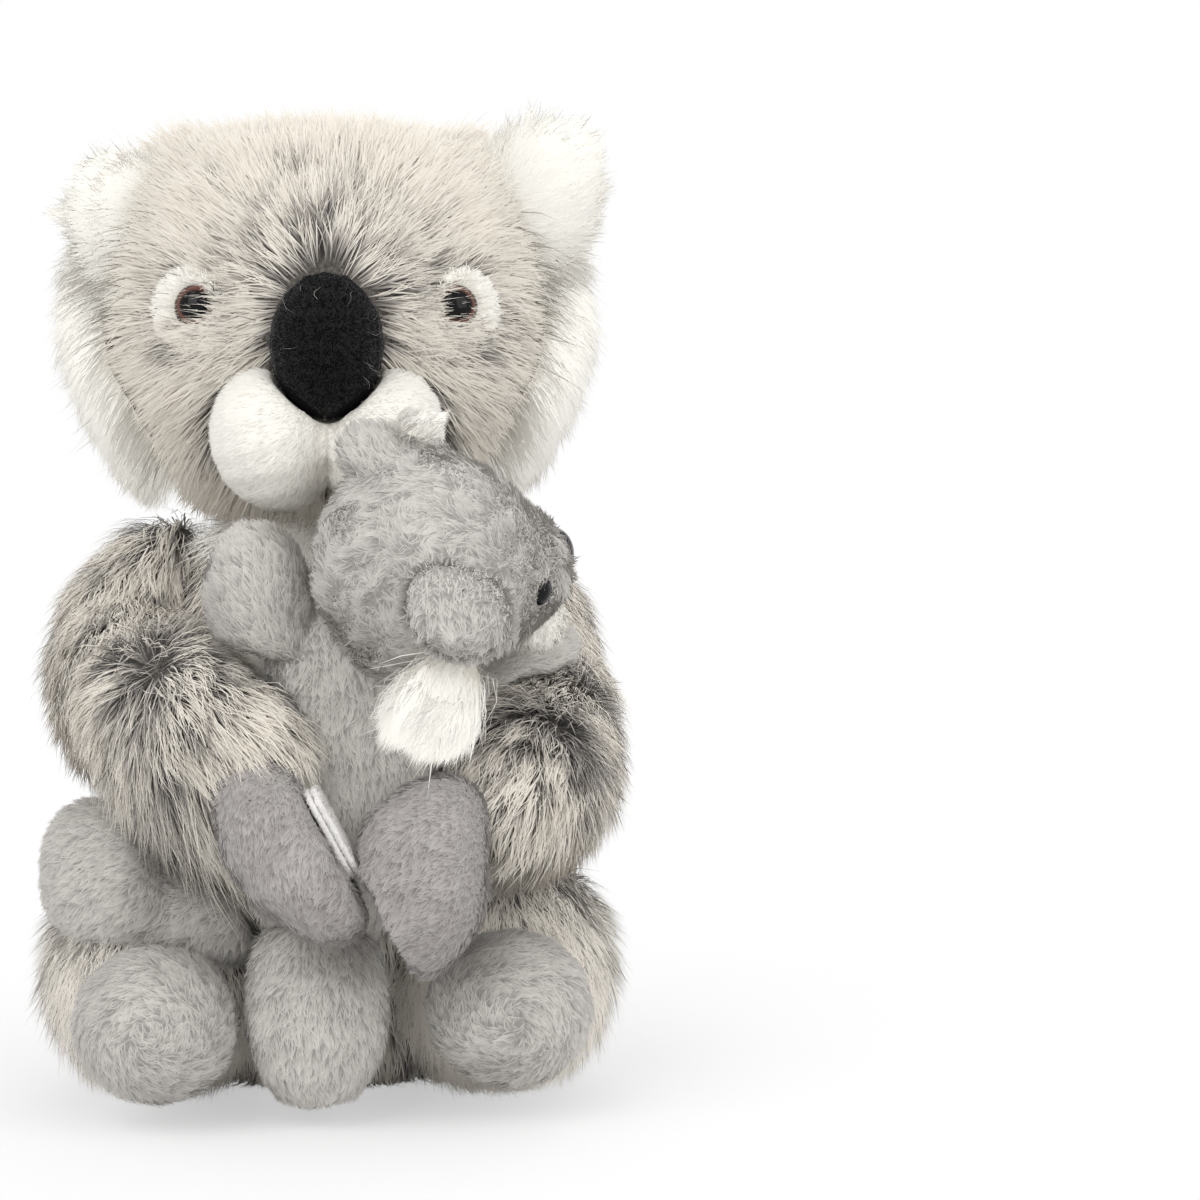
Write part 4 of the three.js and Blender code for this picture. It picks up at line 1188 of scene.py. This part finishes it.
class KOALA_OT_legs(bpy.types.Operator):
    """The haunches in long pile and the grey feet, whose short pile turns round the sole"""

    bl_idname = "koala.legs"
    bl_label = "Haunches and feet"

    def execute(self, context):
        for side, sign in SIDES.items():
            whorl = HAUNCHES[side]
            skin_piece(f"haunch_{side}", f"thigh_{side}", MOTHER, grey_knit(), inset=4 * MM)
            long_pile(
                f"haunch_{side}_pile", f"haunch_{side}", MOTHER, parted_flow(downwards, [whorl], 30 * MM),
                lean=(50, 78), shade=parted_shade(92, 0.75, [whorl], 16 * MM, 0.45), seed=91,
                length=18 * MM, lock=5 * MM, pull=0.55, stir=0.2, steps=2, near=(0, 0.4 * MM),
            )
            skin_piece(f"foot_{side}_skin", f"foot_{side}", MOTHER, velour_knit(), inset=0.3 * MM)
            sole = centre_of(f"foot_{side}")
            short_pile(
                f"foot_{side}_pile", f"foot_{side}_skin", MOTHER, "velvet_grey", grey_velour(),
                self.swirl(sole, sign), shade=parted_shade(94, 0.52), near=(0, 0.8 * MM), seed=93,
            )
        return {"FINISHED"}

    @staticmethod
    def swirl(middle, sign):
        """Round the sole's middle and outwards, seen from the front."""

        def flow(points):
            out = unit(points - middle)
            return out + sign * np.cross(out, np.array([0.0, -1.0, 0.0])) * 1.2

        return flow


# The baby


class KOALA_OT_baby_head(bpy.types.Operator):
    """The baby's head with its muzzle, its glossy nose and eyes, and its ears with white fringes"""

    bl_idname = "koala.baby_head"
    bl_label = "Baby's head"

    def execute(self, context):
        black = gloss_material("black_acrylic", [(0.0, "#050505"), (1.0, "#0b0b0c")])
        skin_piece("baby_head_skin", "baby_head", BABY, velour_knit(), rounds=12, inset=0.8 * MM)
        short_pile(
            "baby_head_pile", "baby_head_skin", BABY, "velvet_grey", grey_velour(), away_from(BABY_NOSE),
            shade=parted_shade(102, 0.55), seed=101, length=5 * MM, crowd=0.2, stir=1.0, lean=(50, 78),
            weight=self.clear_of_eyes,
        )
        dome_piece("baby_nose_dome", "baby_nose", BABY_FACE, BABY, black)
        for side, sink in {"left": 0.8 * MM, "right": 2.2 * MM}.items():
            rough = unit(centre_of(f"baby_eye_{side}") - BABY_HEAD)
            dome_piece(f"baby_eye_dome_{side}", f"baby_eye_{side}", rough, BABY, black, sink=sink)
        skin = skin_piece(
            "baby_muzzle_skin", "baby_muzzle", BABY, white_knit(), voxel=0.9 * MM, rounds=8, inset=0.6 * MM
        )
        grow(
            "baby_muzzle_pile", skin, BABY, "plush_white", white_pile(), away_from(BABY_NOSE),
            length=2.8 * MM, width=0.36 * MM, density=3.2, lean=(20, 50), steps=2, shade=0.7, seed=103,
        )
        for side in SIDES:
            ear, lining = f"baby_ear_{side}", f"baby_ear_lining_{side}"
            start, length, lean, drawn, ear_shape, lining_shape = self.FRINGES[side]
            fine = {"voxel": 1.5 * MM}
            skin_piece(f"{ear}_skin", ear, BABY, velour_knit(), inset=0.3 * MM, shape=ear_shape, **fine)
            skin_piece(f"{lining}_skin", lining, BABY, white_knit(), inset=drawn, shape=lining_shape, **fine)
            short_pile(
                f"{ear}_pile", f"{ear}_skin", BABY, "velvet_grey", grey_velour(), away_from(BABY_HEAD),
                shade=0.62, seed=104, length=5 * MM, near=(-1, 0.3 * MM), crowd=0.2, lean=(40, 70),
            )
            fluffy_pile(
                f"{lining}_pile", f"{lining}_skin", BABY, away_from(mm(*start)), length=length * MM,
                density=11, width=0.3 * MM, droop=0.3, lean=lean, lock=4.5 * MM, near=(-1, 0.3 * MM),
                crowd=0.1, pull=0.8, stir=0.4, frizz=0.1, seed=105, shade=0.5, tone=0.2,
            )
        return {"FINISHED"}

    @staticmethod
    def clear_of_eyes(points):
        """0 within 3.5 mm of an eye's middle and 1 beyond 5 mm."""
        clear = np.ones(len(points))
        for side in SIDES:
            away = np.linalg.norm(points - centre_of(f"baby_eye_{side}"), axis=1)
            clear = clear * rise(3.5 * MM, 5 * MM, away)
        return clear

    # Where each ear's white fringe runs out from, its length in millimetres, how it lies, how far
    # the lining under it is drawn in, and how the ear and the lining are moved
    FRINGES = {
        "right": ((46, -110, 150), 23, (60, 84), 8.5 * MM, None, moved(2, 0, 6)),
        "left": ((10, -84, 172), 11, (56, 82), 5.5 * MM, moved(-4, 0, -9), moved(-6, 0, -9)),
    }


class KOALA_OT_baby_body(bpy.types.Operator):
    """The baby's body, arms and legs in short light-grey pile"""

    bl_idname = "koala.baby_body"
    bl_label = "Baby's body"

    def execute(self, context):
        middle = centre_of("baby_body")
        shapes = {"body": self.raised_back, "leg_left": self.full_foot, "arm_left": self.bent_arm}
        for seed, node in enumerate(["body", "arm_left", "arm_right", "leg_left", "leg_right"], 111):
            name = f"baby_{node}"
            skin_piece(f"{name}_skin", name, BABY, velour_knit(), inset=0.6 * MM, shape=shapes.get(node))
            flow = downwards if node == "body" else away_from(middle, (0, 0, -0.3))
            short_pile(
                f"{name}_pile", f"{name}_skin", BABY, "velvet_grey", grey_velour(), flow,
                shade=parted_shade(seed + 20, 0.58), seed=seed, length=4.5 * MM, crowd=0.4,
                near=(0, 1 * MM),
            )
        return {"FINISHED"}

    @staticmethod
    def raised_back(points):
        """The upper back, stretched up to meet the head and out to meet the mother's forearm."""
        side = hump(points, mm(-14, -66, 114), 16 * MM)
        points = points + UP * (18 * MM * rise(85 * MM, 121 * MM, points[:, 2]))[:, None]
        return points + mm(-10, -4, 0) * side[:, None]

    @staticmethod
    def bent_arm(points):
        """The left arm, drawn up where its shoulder goes under the mother's forearm."""
        return points + UP * (0.55 * np.maximum(128 * MM - points[:, 2], 0))[:, None]

    @staticmethod
    def full_foot(points):
        """The left leg, fuller at its foot and pressed down where the mother's arm lies on it."""
        foot = rise(-40 * MM, -55 * MM, points[:, 0])
        up = 9 * MM * foot * rise(50 * MM, 72 * MM, points[:, 2]) - 4 * MM * (1 - foot)
        back = 6 * MM * (1 - foot)
        return points + np.stack([0 * up, back, up], 1)


# The studio


def seen_rays(tree):
    """1 for the rays that show the backdrop: from the camera, off gloss and through clear plastic."""
    ray = add_node(tree, "ShaderNodeLightPath")
    seen = ray.outputs["Is Camera Ray"]
    for kind in ("Is Glossy Ray", "Is Transmission Ray"):
        links = {0: seen, 1: ray.outputs[kind]}
        seen = add_node(tree, "ShaderNodeMath", links=links, operation="MAXIMUM").outputs[0]
    return seen


class KOALA_OT_stage(bpy.types.Operator):
    """The pale floor, the soft lamps, the white backdrop and the camera"""

    bl_idname = "koala.stage"
    bl_label = "Stage"

    def execute(self, context):
        self.make_camera(context)
        self.make_floor()
        self.make_lamps(context)
        self.make_world(context)
        context.scene.view_settings.view_transform = "Standard"
        return {"FINISHED"}

    @staticmethod
    def make_camera(context):
        """A camera in front, whose axis runs from its own place to a point beside the toy."""
        stage = context.scene.koala_stage
        camera = bpy.data.objects.new("camera", bpy.data.cameras.new("camera"))
        reach = math.sqrt(stage.distance**2 + stage.aim_right**2 + stage.aim_down**2)
        camera.data.lens = camera.data.sensor_width * reach / stage.picture
        camera.location = (0, -stage.distance, stage.height)
        pitch = math.atan2(stage.aim_down, math.hypot(stage.distance, stage.aim_right))
        camera.rotation_euler = (math.pi / 2 - pitch, 0, -math.atan2(stage.aim_right, stage.distance))
        context.scene.collection.objects.link(camera)
        context.scene.camera = camera

    @staticmethod
    def make_floor():
        """A matt white board that fades into the backdrop a hand's breadth from the toy."""
        half = 1.6
        share_of_white = 0.5
        corners = [(-half, -half, 0), (half, -half, 0), (half, half, 0), (-half, half, 0)]
        mesh = bpy.data.meshes.new("floor")
        mesh.from_pydata(corners, [], [(0, 1, 2, 3)])
        floor = bpy.data.objects.new("floor", mesh)
        bpy.context.scene.collection.objects.link(floor)
        material = bpy.data.materials.new("matt_white_board")
        material.use_nodes = True
        tree = material.node_tree
        tree.nodes.clear()
        place = add_node(tree, "ShaderNodeTexCoord").outputs["Object"]
        far = add_node(tree, "ShaderNodeVectorMath", links={0: place}, operation="LENGTH")
        fade = add_node(
            tree, "ShaderNodeMapRange", {"From Min": 0.09, "From Max": 0.24}, {"Value": far.outputs["Value"]}
        )
        matt = add_node(tree, "ShaderNodeBsdfDiffuse", {"Color": linear("#f7f7f7")})
        bright = add_node(tree, "ShaderNodeEmission", {"Color": [1, 1, 1, 1], "Strength": 1.0})
        share = add_node(
            tree, "ShaderNodeMath", {1: share_of_white}, {0: seen_rays(tree)}, operation="MULTIPLY"
        )
        board = add_node(
            tree,
            "ShaderNodeMixShader",
            links={0: share.outputs[0], 1: matt.outputs["BSDF"], 2: bright.outputs["Emission"]},
        )
        clear = add_node(tree, "ShaderNodeBsdfTransparent")
        mixed = add_node(
            tree,
            "ShaderNodeMixShader",
            links={0: fade.outputs["Result"], 1: board.outputs["Shader"], 2: clear.outputs["BSDF"]},
        )
        add_node(tree, "ShaderNodeOutputMaterial", links={"Surface": mixed.outputs["Shader"]})
        mesh.materials.append(material)

    @staticmethod
    def make_lamps(context):
        """Two broad soft lamps from above in front, and one from behind."""
        lamps = {
            "key": ((-0.75, -1.0, 1.15), 1.1, 10.0),
            "fill": ((0.95, -0.95, 0.75), 1.1, 6.5),
            "rim": ((0.2, 0.9, 1.1), 0.9, 5.0),
        }
        for name, (place, size, power) in lamps.items():
            lamp = bpy.data.lights.new(name, "AREA")
            lamp.size = size
            lamp.energy = power
            holder = bpy.data.objects.new(name, lamp)
            away = np.array(place) - np.array([0, 0, 0.12])
            flat = math.hypot(away[0], away[1])
            holder.location = place
            holder.rotation_euler = (math.atan2(flat, away[2]), 0, math.atan2(away[1], away[0]) + math.pi / 2)
            context.scene.collection.objects.link(holder)

    @staticmethod
    def make_world(context):
        """White where the camera and reflections see it, and a soft even light elsewhere."""
        world = bpy.data.worlds.new("studio")
        world.use_nodes = True
        tree = world.node_tree
        tree.nodes.clear()
        white = [1, 1, 1, 1]
        backdrop = add_node(tree, "ShaderNodeBackground", {"Color": white, "Strength": 1.0})
        light = add_node(tree, "ShaderNodeBackground", {"Color": white, "Strength": 0.7})
        links = {0: seen_rays(tree), 1: light.outputs["Background"], 2: backdrop.outputs["Background"]}
        mixed = add_node(tree, "ShaderNodeMixShader", links=links)
        add_node(tree, "ShaderNodeOutputWorld", links={"Surface": mixed.outputs["Shader"]})
        context.scene.world = world


# The add-on


OPERATORS = (
    KOALA_OT_body,
    KOALA_OT_head,
    KOALA_OT_muzzle,
    KOALA_OT_nose,
    KOALA_OT_eyes,
    KOALA_OT_ears,
    KOALA_OT_chest,
    KOALA_OT_arms,
    KOALA_OT_legs,
    KOALA_OT_baby_head,
    KOALA_OT_baby_body,
    KOALA_OT_stage,
)
SETTINGS = {
    "koala_long_pile": KoalaLongPile,
    "koala_white_pile": KoalaWhitePile,
    "koala_short_pile": KoalaShortPile,
    "koala_stage": KoalaStage,
}


class KOALA_PT_panel(bpy.types.Panel):
    """The koala's pieces, one button each"""

    bl_label = "Plush koala"
    bl_idname = "KOALA_PT_panel"
    bl_space_type = "VIEW_3D"
    bl_region_type = "UI"
    bl_category = "Koala"

    def draw(self, context):
        for name, settings in SETTINGS.items():
            for field in settings.__annotations__:
                self.layout.prop(getattr(context.scene, name), field)
        for operator in OPERATORS:
            self.layout.operator(operator.bl_idname)


CLASSES = (*SETTINGS.values(), *OPERATORS, KOALA_PT_panel)


def register():
    """Registers the classes and gives the scene its settings."""
    for made in CLASSES:
        bpy.utils.register_class(made)
    for name, settings in SETTINGS.items():
        setattr(bpy.types.Scene, name, bpy.props.PointerProperty(type=settings))


def unregister():
    """Takes the settings and the classes away again."""
    for name in SETTINGS:
        delattr(bpy.types.Scene, name)
    for made in reversed(CLASSES):
        bpy.utils.unregister_class(made)


def main():
    """Makes every piece in order."""
    register()
    for operator in OPERATORS:
        getattr(bpy.ops.koala, operator.bl_idname.split(".")[1])()


if __name__ == "__main__":
    main()
